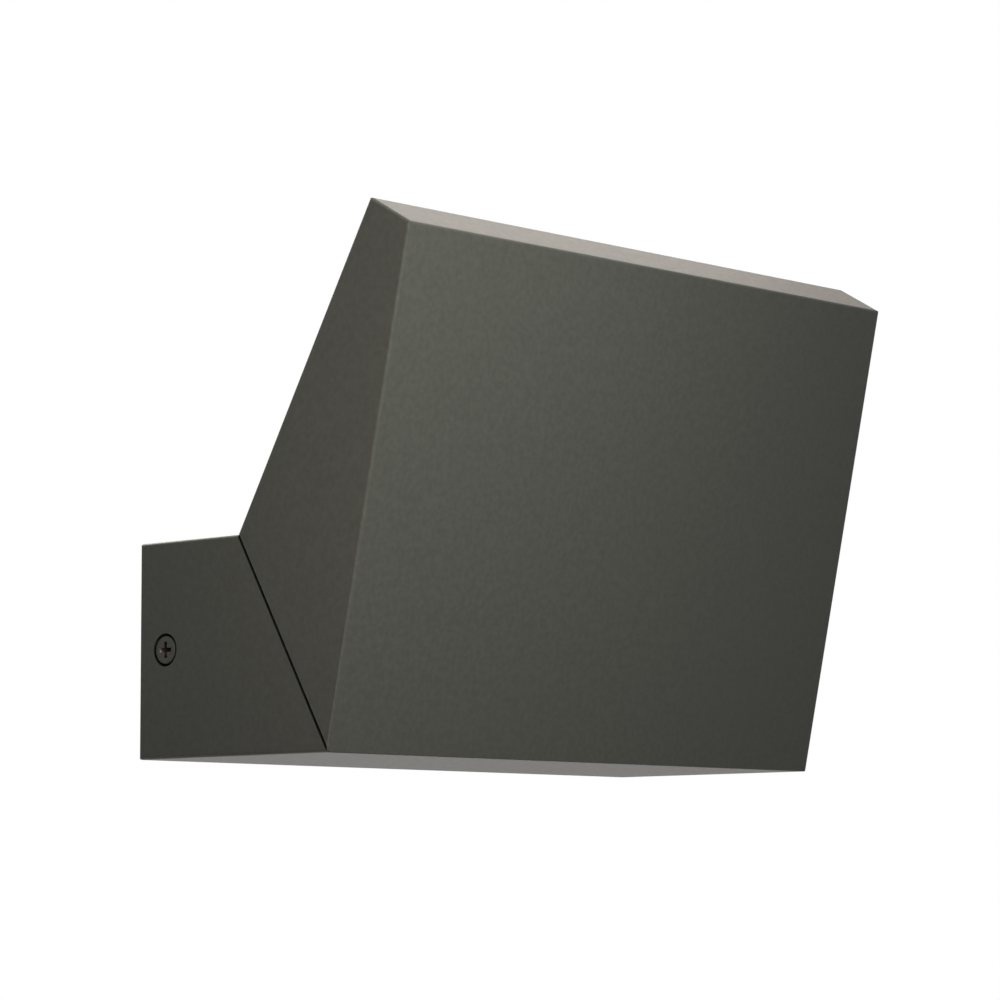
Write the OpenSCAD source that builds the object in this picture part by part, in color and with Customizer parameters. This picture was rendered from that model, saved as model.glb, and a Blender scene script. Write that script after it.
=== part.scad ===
// Outdoor wall light: a cast wall box and a cast wedge head that meet on a slanted swivel seam.
// Frame: X runs across, the wall is the plane Y = 0 with the light on its -Y side, Z is up.
// The origin lies on the wall, midway between the two fixing slots.
// The head is drawn turned up, its light outlet facing the wall. A half turn about the line
// square to the seam brings the outlet level with the underside of the box.

/* [Overall] */
// Width of the wall box and of the head
light_w = 206; // [200:1:208]
// Height of the wall box
box_h = 60; // [59:0.5:66]
// Depth of the wall box along its top edge
box_top_d = 39; // [39:0.5:50]
// Lean of the seam from the vertical
seam_lean = 30; // [29:0.5:31]
// Length of the light outlet, from the seam to the nose
head_len = 100; // [98:1:120]
// Height of the nose face
nose_h = 16.8; // [16.4:0.2:22]

/* [Castings] */
// Wall thickness of both castings
wall_t = 3; // [2.6:0.1:3.2]
// Thickness of the seam wall of the box
box_seam_t = 5; // [4.6:0.1:5.6]
// Thickness of the seam wall of the head
head_seam_t = 4; // [3.6:0.1:4.6]
// Rounding of the outer edges
edge_r = 0.9; // [0.6:0.1:1.4]
// Rounding of the edges along the seam
seam_edge_r = 0.2; // [0.2:0.1:0.6]
// Open gap between the two seam faces
seam_gap = 0.5; // [0.4:0.1:0.7]
// Inner corner radius of the castings
core_r = 2; // [1:0.5:3]
// Thickness of the ribs inside the castings
rib_t = 2.2; // [1.8:0.1:3]

/* [Rim and bracket] */
// Thickness of the rim that meets the wall
rim_t = 4.5; // [4.2:0.1:5]
// Depth of the thickened rim
rim_d = 6; // [5:0.5:8]
// Width of the seal groove in the rim
gasket_w = 2; // [1.6:0.1:2.2]
// Depth of the seal groove in the rim
gasket_d = 2.4; // [2:0.1:3]
// Thickness of the wall bracket's sheet
sheet_t = 2; // [1.5:0.1:2.2]
// Depth of the bracket's ears, from the wall
ear_d = 18; // [16:0.5:20]
// Width of the bracket's ears
ear_w = 22; // [18:1:26]
// Inner bend radius of the sheet
bend_r = 1.5; // [1:0.1:2]
// Distance between the two fixing slots
fixing_pitch = 120; // [100:5:130]
// Width of a fixing slot
slot_w = 5.5; // [4.5:0.1:6]
// Length of a fixing slot from end to end
slot_len = 14; // [10:1:18]
// Radius of the cable hole in the bracket
cable_hole_r = 10; // [9:0.5:11]
// Bore radius of the grommet
grommet_bore_r = 4.2; // [3.5:0.1:5]
// Height by which the middle of the bracket stands off the wall
emboss_h = 2.5; // [2.2:0.1:3]

/* [Side screws] */
// Radius of the side screws' shank
side_screw_r = 2; // [1.8:0.1:2.2]
// Radius of the side screws' head
side_head_r = 4.1; // [3.8:0.1:4.2]
// Height of the head's upright rim above its cone
side_head_rim = 1.2; // [0.8:0.1:1.4]
// Radius of the recess round the head, which leaves a narrow ring open
countersink_r = 4.6; // [4.5:0.1:5]
// Length of the side screws
side_screw_len = 10.5; // [9.5:0.5:11.5]
// Distance of the side screws from the wall
side_screw_y = 10.5; // [9.5:0.5:12]

/* [Swivel] */
// Outer radius of the spigot
spigot_r = 8; // [7.4:0.1:8.6]
// Bore radius of the spigot
spigot_bore_r = 5; // [4:0.1:5.5]
// Running clearance of the spigot in the box
running_fit = 0.06; // [0.03:0.01:0.09]
// Radius of the spigot's flange
flange_r = 13; // [12:0.5:14]
// Thickness of the spigot's flange
flange_t = 3; // [2.5:0.1:3.5]
// Width of the flange across its two flats
flange_flats = 20; // [18:0.5:22]
// Middle radius of the O-ring
o_ring_r = 12.2; // [11.8:0.1:12.6]
// Width of the O-ring's groove
o_groove_w = 3.3; // [3:0.1:3.6]
// Depth of the O-ring's groove
o_groove_d = 1.9; // [1.6:0.1:2.2]
// Middle radius of the glide ring
glide_r = 18; // [17.6:0.1:18.4]
// Width of the glide ring
glide_w = 5; // [4:0.1:5.4]
// Thickness of the glide ring
glide_t = 1.6; // [1.4:0.1:2]
// Radius of the circle on which the stop pin runs
stop_r = 24.5; // [24:0.1:26]
// Radius of the stop pin
pin_r = 2; // [1.5:0.1:2.4]
// Depth of the stop pin's groove
stop_groove_d = 3; // [2.5:0.1:3.4]
// Height of the boss round the spigot inside the box
swivel_boss_h = 2; // [1.5:0.1:3]
// Radius of the boss round the spigot inside the box
swivel_boss_r = 17; // [16:0.5:18]
// Thickness of the swivel nut
nut_t = 6; // [5:0.5:7]
// Width of the swivel nut across its flats
nut_flats = 24; // [22:0.5:26]

/* [Light outlet] */
// Land of the casting round the outlet's frame
outlet_land = 3.5; // [3.2:0.1:4]
// Width of the outlet's frame, from its edge to its window
frame_w = 12.5; // [11.5:0.5:14]
// Thickness of the outlet's frame
frame_t = 1.8; // [1.6:0.1:2]
// Depth at which the frame lies below the casting's rim
frame_inset = 0.2; // [0.1:0.1:0.5]
// Thickness of the glass
glass_t = 4; // [3:0.5:4]
// Thickness of the glass gasket
glass_gasket_t = 1.2; // [1:0.1:1.4]
// Thickness of the ledge that the glass presses on
ledge_t = 2.5; // [2:0.1:2.8]
// Distance of the frame screws from the frame's edge
frame_screw_in = 3.5; // [3.2:0.1:3.8]

/* [Light engine] */
// Length of the board
board_len = 164; // [150:1:166]
// Width of the board
board_w = 22; // [20:0.5:24]
// Thickness of the board
board_t = 1.6; // [1:0.1:2]
// Depth of the board's seat below the outlet
seat_v = 24; // [23.6:0.1:24.4]
// Distance of the board's middle from the top of the seam, along the outlet
board_u = 48; // [46:0.5:50]
// Number of chips in each row
chip_count = 9; // [5:1:9]
// Distance between the chips
chip_pitch = 16; // [12:0.5:17]
// Wall of the reflector
reflector_t = 0.8; // [0.6:0.1:1]

/* [Wiring] */
// Free space between the driver's case and the side of the box
driver_side = 17; // [16:0.5:22]
// Width of the driver's case
driver_w = 30; // [26:0.5:31]
// Height of the driver's case
driver_h = 22; // [18:0.5:23]
// Distance from the middle of the light to the driver's case
driver_x = 26; // [25:0.5:28]
// Distance between two poles of the terminal block
pole_pitch = 10; // [9:0.5:10.5]
// Depth of the terminal block, along its wires
block_d = 18; // [16:0.5:20]
// Height of the terminal block
block_h = 15; // [13:0.5:16]
// Distance from the side of the box to the block's middle pole
block_side = 37; // [34:1:38]
// Radius of a mains lead
lead_r = 1.1; // [0.9:0.1:1.3]
// Radius of the low-voltage lead
led_lead_r = 1.6; // [1.4:0.1:1.7]

/* [Hidden] */

// Fits and small clearances
fit_gap = 0.15;
slip = 0.02;
thread_gap = 0.03;
eps = 0.01;
past = 1;

// Colours
coat = [0.30, 0.30, 0.28];
zinc = [0.72, 0.73, 0.74];
rubber = [0.12, 0.12, 0.12];
nylon = [0.85, 0.85, 0.80];
brass = [0.78, 0.65, 0.35];

// Places of the seam: its middle, and its lean's sine, cosine and tangent
sin_s = sin(seam_lean);
cos_s = cos(seam_lean);
tan_s = tan(seam_lean);
box_bottom_d = box_top_d + box_h * tan_s;
seam_mid_d = (box_top_d + box_bottom_d) / 2;
half_w = light_w / 2;
inner_x = half_w - wall_t;

// Lean of the outlet from the vertical: the mitre turns the outlet by twice the seam's angle
outlet_lean = 90 - 2 * seam_lean;

// Rim and bracket
rim_x = half_w - rim_t;
rim_z = box_h / 2 - rim_t;
bracket_x = rim_x - 2 * fit_gap;
bracket_z = rim_z - 1.5;
gasket_x = half_w - rim_t / 2;
gasket_z = box_h / 2 - rim_t / 2;
gasket_fit = 0.05;
plate_corner_r = 4;
notch_w = 1.5;
notch_len = 5;
emboss_wall_r = cable_hole_r + 6;
grommet_lip_r = cable_hole_r + 3;
grommet_lip_t = 2;
grommet_snout = 5.5;
weld_nut_t = 3.2;
weld_nut_flats = 7;
clear_hole_r = side_screw_r + 0.25;
side_head_sink = 0.1;
screw_seat_x = half_w - side_head_sink - side_head_rim - slip;
screw_pad_r = 8;

// Seam, along its normal: the head's seam face, the inner faces of both seam walls
head_seam_n = seam_gap + head_seam_t;
box_seam_n = -box_seam_t;
boss_n = box_seam_n - swivel_boss_h;
friction_t = 1.5;
spring_t = 1;
spring_rise = 0.6;
spring_n = boss_n - friction_t - slip;
nut_n = spring_n - spring_t - spring_rise - slip;
spigot_end_n = nut_n - nut_t - 1.5;
flange_gasket_t = 0.8;
flange_n = head_seam_n + flange_gasket_t;
nut_washer_r = 14.5;
key_rib_h = 2.6;
key_rib_t = 2.5;
pin_in_head = 3;
stop_clear = 0.2;
glide_recess_d = glide_t - seam_gap + slip;

// Outlet, square to its face: v is depth below the casting's rim, u runs from the seam to the nose
frame_v = frame_inset;
glass_v = frame_v + frame_t;
glass_gasket_v = glass_v + glass_t;
flange_v = glass_gasket_v + glass_gasket_t;
ledge_v = flange_v + reflector_t;
cavity_v = ledge_v + ledge_t;
seam_in_u = head_seam_n / cos_s;
outlet_u0 = seam_in_u + 0.8;
outlet_u1 = head_len - outlet_land;
outlet_x = half_w - outlet_land;
window_x = outlet_x - frame_w;
window_u0 = outlet_u0 + frame_w - 5;
window_u1 = outlet_u1 - frame_w + 2;
glass_lap = 5.5;
glass_x = window_x + glass_lap;
glass_u0 = window_u0 - glass_lap + 1.5;
glass_u1 = window_u1 + glass_lap - 1;
pocket_gap = 0.2;
glass_corner_r = 3;
ledge_corner_r = 0.5;
frame_screw_x = outlet_x - frame_screw_in;
frame_screw_rows = [outlet_u0 + 8, (outlet_u0 + outlet_u1) / 2, outlet_u1 - 8];
relief_x0 = glass_x + 1.6;
relief_x1 = outlet_x - 0.6;

// Slope of the head's front wall, seen square to the outlet
front_slope = (nose_h - box_h) / (head_len + box_h * tan_s);
front_cos = cos(atan(front_slope));

// Light engine
pad_t = 0.3;
board_v = seat_v - pad_t - board_t;
chip = 3;
chip_t = 0.7;
chip_row = 5.5;
seat_plate_t = 2.5;
seat_rib_pitch = 18;
seat_margin = 1;
board_screw_end = 19;
board_screw_x = [for (k = [-7, -3, 3, 7]) k / 7 * (board_len / 2 - board_screw_end)];
connector_len = 6;
connector_w = 9;
connector_h = 3;
mouth_x = board_len / 2 - board_screw_end + 5.5;
mouth_half_u = 9;
reflector_v = board_v - 0.5;
m3_r = 1.5;
m3_core_r = 1.25;
m3_head_r = 2.75;

// Wiring: the driver and the block stand on pads of the seam wall
pad_h = 2;
seat_n = box_seam_n - pad_h;
driver_t_mid = 3;
driver_len = half_w - driver_side - driver_x;
driver_far_x = driver_x + driver_len;
lug_len = 7;
lug_t = 3;
driver_lead_n = seat_n - 11;
block_x = half_w - block_side;
block_len = 3 * pole_pitch + 2;
block_lead_n = seat_n - 9;
clamp_r = 2.9;
clamp_bore_r = 1.9;
clamp_len = 14;
clamp_screw_r = 1.3;
clamp_screw_t = 4;
earth_x = 34;
earth_boss_h = 3;
earth_boss_r = 4.5;
tag_t = 0.8;

// Unit vector along v
function unit(v) = v / norm(v);

// Depth in front of the wall of a plane parallel to the seam, n beyond it, at height z
function seam_depth(z, n) = seam_mid_d - z * tan_s + n / cos_s;

// Depth below the outlet of the front wall's face, t inside the outer face, at u
function front_v(u, t) = box_h + (u + box_h * tan_s) * front_slope - t / front_cos;

// Point of the seam frame (x, t, n) in the light's own frame
function from_seam(p) = [
    p[0],
    -seam_mid_d + p[1] * sin_s - p[2] * cos_s,
    p[1] * cos_s + p[2] * sin_s
];

// Outline with its corners rounded by arcs, one radius per corner
function rounded_outline(pts, radii, steps = 5) = [
    for (i = [0 : len(pts) - 1])
        let (
            n = len(pts),
            p = pts[i],
            da = unit(pts[(i + n - 1) % n] - p),
            db = unit(pts[(i + 1) % n] - p),
            r = radii[i],
            half = acos(da * db) / 2,
            c = p + unit(da + db) * r / sin(half),
            ta = p + da * r / tan(half),
            tb = p + db * r / tan(half)
        )
        for (k = [0 : (r > 0 ? steps : 0)])
            r > 0 ? c + r * unit((ta - c) * (1 - k / steps) + (tb - c) * k / steps) : p
];

// Children drawn in the seam's frame: X across, Y up the seam, Z out of the box into the head
module at_seam() {
    translate([0, -seam_mid_d, 0]) rotate([90 - seam_lean, 0, 0]) children();
}

// Children drawn in the outlet's frame: X across, Y from the seam to the nose, Z into the head
module at_outlet() {
    translate([0, -box_top_d, box_h / 2]) rotate([90 + outlet_lean, 0, 0]) children();
}

// Outline in the (Y, Z) plane drawn out along X, w wide, about x
module across(w, x = 0) {
    translate([x - w / 2, 0, 0]) rotate([90, 0, 90]) linear_extrude(w) children();
}

// Side of an outline on which it lies open: the unit vector out of its edge from a to b
function outward(a, b, middle) =
    let (d = unit(b - a), left = [-d[1], d[0]])
    left * (a - middle) > 0 ? left : -left;

// Convex body w wide from its side profile (Y, Z): corner_r rounds the profile's corners, and
// side_r rounds the two long edges of each face, in the order of the profile's edges
module soft_prism(profile, corner_r, side_r, w) {
    n = len(profile);
    middle = (profile[0] + profile[1] + profile[2] + profile[3]) / 4;
    reach = 2 * w;
    intersection() {
        across(w) polygon(rounded_outline(profile, corner_r));
        intersection_for(i = [0 : n - 1])
            let (a = profile[i], o = outward(a, profile[(i + 1) % n], middle), r = side_r[i])
            translate([0, a[0], a[1]]) rotate([atan2(o[1], o[0]), 0, 0]) translate([0, 0, -reach])
                linear_extrude(2 * reach) polygon(rounded_outline(
                    [[-w / 2, -reach], [w / 2, -reach], [w / 2, 0], [-w / 2, 0]], [0, 0, r, r]));
    }
}

// Plate with rounded corners between two corners, drawn from z0 to z1
module round_plate(x, y0, y1, r, z0, z1) {
    pts = [[-x, y0], [x, y0], [x, y1], [-x, y1]];
    translate([0, 0, z0]) linear_extrude(z1 - z0) polygon(rounded_outline(pts, [r, r, r, r]));
}

// Ring with a rectangular section
module ring(r_in, r_out, z0, z1) {
    translate([0, 0, z0]) difference() {
        cylinder(h = z1 - z0, r = r_out, $fn = 96);
        translate([0, 0, -past]) cylinder(h = z1 - z0 + 2 * past, r = r_in, $fn = 96);
    }
}

// Four-sided funnel from one rectangle to another
module funnel(x0, ya0, yb0, z0, x1, ya1, yb1, z1) {
    polyhedron(
        points = [
            [-x0, ya0, z0], [x0, ya0, z0], [x0, yb0, z0], [-x0, yb0, z0],
            [-x1, ya1, z1], [x1, ya1, z1], [x1, yb1, z1], [-x1, yb1, z1]
        ],
        faces = [[0, 1, 2, 3], [7, 6, 5, 4], [0, 4, 5, 1], [1, 5, 6, 2], [2, 6, 7, 3], [3, 7, 4, 0]]
    );
}

// Cross recess cut into a screw's head, drawn down from the head's top
module cross_recess(r) {
    depth = 0.75 * r;
    reach = 0.55 * r;
    slot = 0.11 * r;
    for (turn = [0, 90]) rotate([0, 0, turn])
        translate([-reach, -slot, -depth]) cube([2 * reach, 2 * slot, depth + past]);
}

// Countersunk screw whose head's top is at z = 0 and whose shank points down
module countersunk_screw(r, head_r, length, rim = 0) {
    difference() {
        union() {
            if (rim > 0) translate([0, 0, -rim]) cylinder(h = rim, r = head_r, $fn = 48);
            translate([0, 0, r - head_r - rim]) cylinder(h = head_r - r, r1 = r, r2 = head_r, $fn = 48);
            translate([0, 0, -length]) cylinder(h = length - head_r + r - rim + eps, r = r, $fn = 48);
        }
        cross_recess(head_r);
    }
}

// Pan head screw whose head stands on z = 0 and whose shank points down
module pan_screw(r, head_r, head_h, length) {
    difference() {
        union() {
            cylinder(h = head_h * 0.6, r = head_r, $fn = 48);
            translate([0, 0, head_h * 0.6])
                cylinder(h = head_h * 0.4, r1 = head_r, r2 = head_r * 0.7, $fn = 48);
            translate([0, 0, -length]) cylinder(h = length + eps, r = r, $fn = 48);
        }
        translate([0, 0, head_h]) cross_recess(head_r * 0.9);
    }
}

// Leads: a smooth curve through hand-chosen points, and a round tube along it
function curve_point(p, i, f) =
    let (
        a = p[max(i - 1, 0)], b = p[i], c = p[i + 1], d = p[min(i + 2, len(p) - 1)]
    )
    0.5 * (2 * b + (c - a) * f + (2 * a - 5 * b + 4 * c - d) * f * f + (3 * b - a - 3 * c + d) * f * f * f);

function smooth_route(p, parts) = concat(
    [for (i = [0 : len(p) - 2], k = [0 : parts - 1]) curve_point(p, i, k / parts)],
    [p[len(p) - 1]]
);

function tangents(p, first, last) = [
    for (i = [0 : len(p) - 1]) i == 0 ? first : i == len(p) - 1 ? last : unit(p[i + 1] - p[i - 1])
];

function carried_normals(t, acc) =
    len(acc) == len(t) ? acc
    : let (n = acc[len(acc) - 1], d = t[len(acc)])
      carried_normals(t, concat(acc, [unit(n - d * (n * d))]));

module lead(route, r, sides, parts) {
    p = smooth_route(route, parts);
    ends = len(route) - 1;
    t = tangents(p, unit(route[1] - route[0]), unit(route[ends] - route[ends - 1]));
    seed = abs(t[0][0]) < 0.9 ? [1, 0, 0] : [0, 1, 0];
    n = carried_normals(t, [unit(seed - t[0] * (seed * t[0]))]);
    last = len(p) - 1;
    points = [
        for (i = [0 : last], k = [0 : sides - 1])
            p[i] + r * (cos(360 * k / sides) * n[i] + sin(360 * k / sides) * cross(t[i], n[i]))
    ];
    polyhedron(
        points = points,
        faces = concat(
            [[for (k = [0 : sides - 1]) k]],
            [[for (k = [sides - 1 : -1 : 0]) last * sides + k]],
            [for (i = [0 : last - 1], k = [0 : sides - 1])
                [i * sides + k, (i + 1) * sides + k, (i + 1) * sides + (k + 1) % sides]],
            [for (i = [0 : last - 1], k = [0 : sides - 1])
                [i * sides + k, (i + 1) * sides + (k + 1) % sides, i * sides + (k + 1) % sides]]
        )
    );
}

// Side profile of the wall box and of its inside
box_profile = [
    [0, box_h / 2], [0, -box_h / 2], [-seam_depth(-box_h / 2, 0), -box_h / 2],
    [-seam_depth(box_h / 2, 0), box_h / 2]
];
box_radii = [edge_r, edge_r, seam_edge_r, seam_edge_r];
box_side_radii = [edge_r, edge_r, seam_edge_r, edge_r];
box_inner_z = box_h / 2 - wall_t;
box_inside = [
    [-rim_d, box_inner_z], [-rim_d, -box_inner_z],
    [-seam_depth(-box_inner_z, box_seam_n), -box_inner_z],
    [-seam_depth(box_inner_z, box_seam_n), box_inner_z]
];

// Side profile of the head and of its inside, seen square to the outlet (u, v)
front_n = head_len * cos_s + nose_h * sin_s;
seam_foot = [-box_h * tan_s, box_h];
head_profile = [
    [seam_gap / cos_s, 0], [head_len, 0], [head_len, nose_h],
    seam_foot + ([head_len, nose_h] - seam_foot) * seam_gap / front_n
];
head_radii = [seam_edge_r, edge_r, edge_r, seam_edge_r];
head_side_radii = [edge_r, edge_r, edge_r, seam_edge_r];
inner_foot_u = (head_seam_n - front_v(0, wall_t) * sin_s) / (cos_s + front_slope * sin_s);
head_inside = [
    [(head_seam_n - cavity_v * sin_s) / cos_s, cavity_v], [head_len - wall_t, cavity_v],
    [head_len - wall_t, front_v(head_len - wall_t, wall_t)],
    [inner_foot_u, front_v(inner_foot_u, wall_t)]
];

// Bolted to the wall behind the box: a plate with a raised middle for the grommet and two ears
module wall_bracket() {
    color(zinc) difference() {
        union() {
            rotate([90, 0, 0])
                round_plate(bracket_x, -bracket_z, bracket_z, plate_corner_r, 0, sheet_t);
            rotate([90, 0, 0]) cylinder(h = emboss_h + sheet_t, r = emboss_wall_r + sheet_t, $fn = 96);
            for (side = [-1, 1]) scale([side, 1, 1]) bracket_ear();
        }
        rotate([90, 0, 0]) translate([0, 0, -past]) {
            cylinder(h = emboss_h + past, r = emboss_wall_r, $fn = 96);
            cylinder(h = emboss_h + sheet_t + 2 * past, r = cable_hole_r, $fn = 96);
        }
        for (side = [-1, 1]) {
            fixing_slot(side * fixing_pitch / 2);
            ear_notches(side);
            rotate([0, 90 * side, 0]) translate([0, -side_screw_y, bracket_x - sheet_t - past])
                cylinder(h = sheet_t + 2 * past, r = clear_hole_r, $fn = 48);
        }
        rounded_bends();
    }
}

module bracket_ear() {
    translate([bracket_x - sheet_t, -ear_d, -ear_w / 2]) cube([sheet_t, ear_d, ear_w]);
    difference() {
        translate([bracket_x - sheet_t - bend_r, -sheet_t - bend_r, -ear_w / 2])
            cube([bend_r + eps, bend_r + eps, ear_w]);
        translate([bracket_x - sheet_t - bend_r, -sheet_t - bend_r, -ear_w / 2 - past])
            cylinder(h = ear_w + 2 * past, r = bend_r, $fn = 48);
    }
}

module rounded_bends() {
    bend_out = bend_r + sheet_t;
    for (side = [-1, 1]) scale([side, 1, 1]) difference() {
        translate([bracket_x - bend_out, -bend_out, -ear_w / 2 - notch_w])
            cube([bend_out + past, bend_out + past, ear_w + 2 * notch_w]);
        translate([bracket_x - bend_out, -bend_out, -ear_w / 2 - notch_w - past])
            cylinder(h = ear_w + 2 * notch_w + 2 * past, r = bend_out, $fn = 64);
    }
}

module ear_notches(side) {
    for (end = [-1, 1])
        translate([side * bracket_x - notch_len, -past - sheet_t, end * (ear_w + notch_w) / 2 - notch_w / 2])
            cube([2 * notch_len, sheet_t + 2 * past, notch_w]);
}

module fixing_slot(x) {
    reach = (slot_len - slot_w) / 2;
    translate([x, past, 0]) rotate([90, 0, 0]) {
        for (end = [-reach, reach]) translate([end, 0, 0])
            cylinder(h = sheet_t + 2 * past, r = slot_w / 2, $fn = 48);
        translate([-reach, -slot_w / 2, 0]) cube([2 * reach, slot_w, sheet_t + 2 * past]);
    }
}

// Hexagon nuts welded inside the ears
module weld_nuts() {
    color(zinc) for (side = [-1, 1])
        rotate([0, 90 * side, 0]) translate([0, -side_screw_y, bracket_x - sheet_t - weld_nut_t])
            difference() {
                cylinder(h = weld_nut_t, r = weld_nut_flats / 2 / cos(30), $fn = 6);
                translate([0, 0, -past])
                    cylinder(h = weld_nut_t + 2 * past, r = side_screw_r + thread_gap, $fn = 48);
            }
}

// Rubber grommet held by its groove in the edge of the cable hole, with a tapered snout
module cable_grommet() {
    front = emboss_h + sheet_t;
    neck_r = cable_hole_r - thread_gap;
    color(rubber) rotate([90, 0, 0]) rotate_extrude($fn = 96) polygon([
        [grommet_bore_r, emboss_h - grommet_lip_t], [grommet_lip_r - 0.5, emboss_h - grommet_lip_t],
        [grommet_lip_r, emboss_h - grommet_lip_t + 0.5], [grommet_lip_r, emboss_h - slip],
        [neck_r, emboss_h - slip], [neck_r, front + slip],
        [grommet_lip_r - 0.5, front + slip], [grommet_lip_r - 0.5, front + grommet_lip_t - 0.5],
        [grommet_lip_r - 1, front + grommet_lip_t], [grommet_bore_r + 3.4, front + grommet_lip_t],
        [grommet_bore_r + 1.4, front + grommet_lip_t + grommet_snout],
        [grommet_bore_r, front + grommet_lip_t + grommet_snout]
    ]);
}

// Cast wall box, open to the wall, with the swivel's seat in its slanted seam wall
module back_box() {
    color(coat) difference() {
        union() {
            difference() {
                soft_prism(box_profile, box_radii, box_side_radii, light_w);
                across(2 * inner_x) polygon(rounded_outline(box_inside, [0, 0, core_r, core_r]));
                rotate([90, 0, 0]) round_plate(rim_x, -rim_z, rim_z, core_r, -past, rim_d + eps);
            }
            screw_pads();
            at_seam() box_bosses();
            seam_ribs();
        }
        gasket_groove(0);
        for (side = [-1, 1]) countersunk_hole(side);
        at_seam() box_swivel_cuts();
        at_seam() box_screw_cores();
    }
}

module screw_pads() {
    for (side = [-1, 1]) rotate([0, 90 * side, 0]) translate([0, -side_screw_y, rim_x])
        cylinder(h = rim_t - wall_t / 2, r = screw_pad_r, $fn = 64);
}

module countersunk_hole(side) {
    rotate([0, 90 * side, 0]) translate([0, -side_screw_y, 0]) {
        translate([0, 0, rim_x - past]) cylinder(h = rim_t + 2 * past, r = clear_hole_r, $fn = 48);
        translate([0, 0, screw_seat_x - side_head_r + clear_hole_r])
            cylinder(h = countersink_r - clear_hole_r, r1 = clear_hole_r, r2 = countersink_r, $fn = 64);
        translate([0, 0, screw_seat_x + countersink_r - side_head_r - eps])
            cylinder(h = half_w - screw_seat_x, r = countersink_r, $fn = 64);
    }
}

module gasket_groove(inset) {
    rotate([90, 0, 0]) difference() {
        round_plate(gasket_x + gasket_w / 2 - inset, -gasket_z - gasket_w / 2 + inset,
            gasket_z + gasket_w / 2 - inset, core_r + 1, inset > 0 ? 0 : -past, gasket_d - inset);
        round_plate(gasket_x - gasket_w / 2 + inset, -gasket_z + gasket_w / 2 - inset,
            gasket_z - gasket_w / 2 + inset, core_r - 0.8, -2 * past, gasket_d + past);
    }
}

module box_bosses() {
    translate([0, 0, boss_n]) cylinder(h = swivel_boss_h + 1, r = swivel_boss_r, $fn = 96);
    for (p = driver_screw_places())
        translate([p[0], p[1], seat_n]) cylinder(h = pad_h + 1, r = 4, $fn = 48);
    for (p = block_screw_places())
        translate([p[0], p[1], seat_n]) cylinder(h = pad_h + 1, r = 3.2, $fn = 48);
    translate([-earth_x, 0, box_seam_n - earth_boss_h])
        cylinder(h = earth_boss_h + 1, r = earth_boss_r, $fn = 48);
}

// Two ribs of the seam wall, one on each side of the swivel, from floor to roof
module seam_ribs() {
    top = box_inner_z + wall_t / 2;
    outline = [
        [-seam_depth(-top, box_seam_n + 1), -top], [-seam_depth(top, box_seam_n + 1), top],
        [-seam_depth(top, seat_n), top], [-seam_depth(-top, seat_n), -top]
    ];
    for (side = [-1, 1]) across(rib_t, side * (swivel_boss_r + 3)) polygon(outline);
}

module box_swivel_cuts() {
    translate([0, 0, boss_n - past]) cylinder(h = 3 * box_seam_t, r = spigot_r + running_fit, $fn = 96);
    ring(o_ring_r - o_groove_w / 2, o_ring_r + o_groove_w / 2, -o_groove_d, past);
    ring(glide_r - glide_w / 2 - gasket_fit, glide_r + glide_w / 2 + gasket_fit, -glide_recess_d, past);
    stop_groove();
}

// Half-circle groove in which the stop pin travels
module stop_groove() {
    groove_r = pin_r + stop_clear;
    translate([0, 0, -stop_groove_d]) {
        rotate_extrude(angle = 180, $fn = 96)
            translate([stop_r - groove_r, 0]) square([2 * groove_r, stop_groove_d + past]);
        for (side = [-1, 1]) translate([side * stop_r, 0, 0])
            cylinder(h = stop_groove_d + past, r = groove_r, $fn = 48);
    }
}

module box_screw_cores() {
    depth = 5;
    for (p = driver_screw_places())
        translate([p[0], p[1], seat_n - past]) cylinder(h = depth + past, r = m3_core_r, $fn = 32);
    for (p = block_screw_places())
        translate([p[0], p[1], seat_n - past]) cylinder(h = depth + past, r = 1, $fn = 32);
    translate([-earth_x, 0, box_seam_n - earth_boss_h - past])
        cylinder(h = depth + past, r = 1.65, $fn = 32);
}

// Seal ring in the groove of the rim, flush with the wall
module wall_gasket() {
    color(rubber) gasket_groove(gasket_fit);
}

// Countersunk screws that hold the box on the bracket's ears
module side_screws() {
    color(coat) for (side = [-1, 1])
        rotate([0, 90 * side, 0]) translate([0, -side_screw_y, half_w - side_head_sink])
            countersunk_screw(side_screw_r, side_head_r, side_screw_len, side_head_rim);
}

// Swivel, box side: bearing ring and O-ring in the seam face, washer inside
module glide_ring() {
    color(nylon) at_seam()
        ring(glide_r - glide_w / 2, glide_r + glide_w / 2, -glide_recess_d, seam_gap - slip);
}

module swivel_o_ring() {
    section_r = o_groove_w / 2 - gasket_fit;
    height = o_groove_d + seam_gap - gasket_fit;
    color(rubber) at_seam() translate([0, 0, -o_groove_d]) rotate_extrude($fn = 96)
        translate([o_ring_r, height / 2]) intersection() {
            circle(section_r, $fn = 32);
            square([2 * section_r + past, height], center = true);
        }
}

module friction_washer() {
    color(nylon) at_seam()
        ring(spigot_r + fit_gap, nut_washer_r, boss_n - friction_t, boss_n);
}

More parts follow.
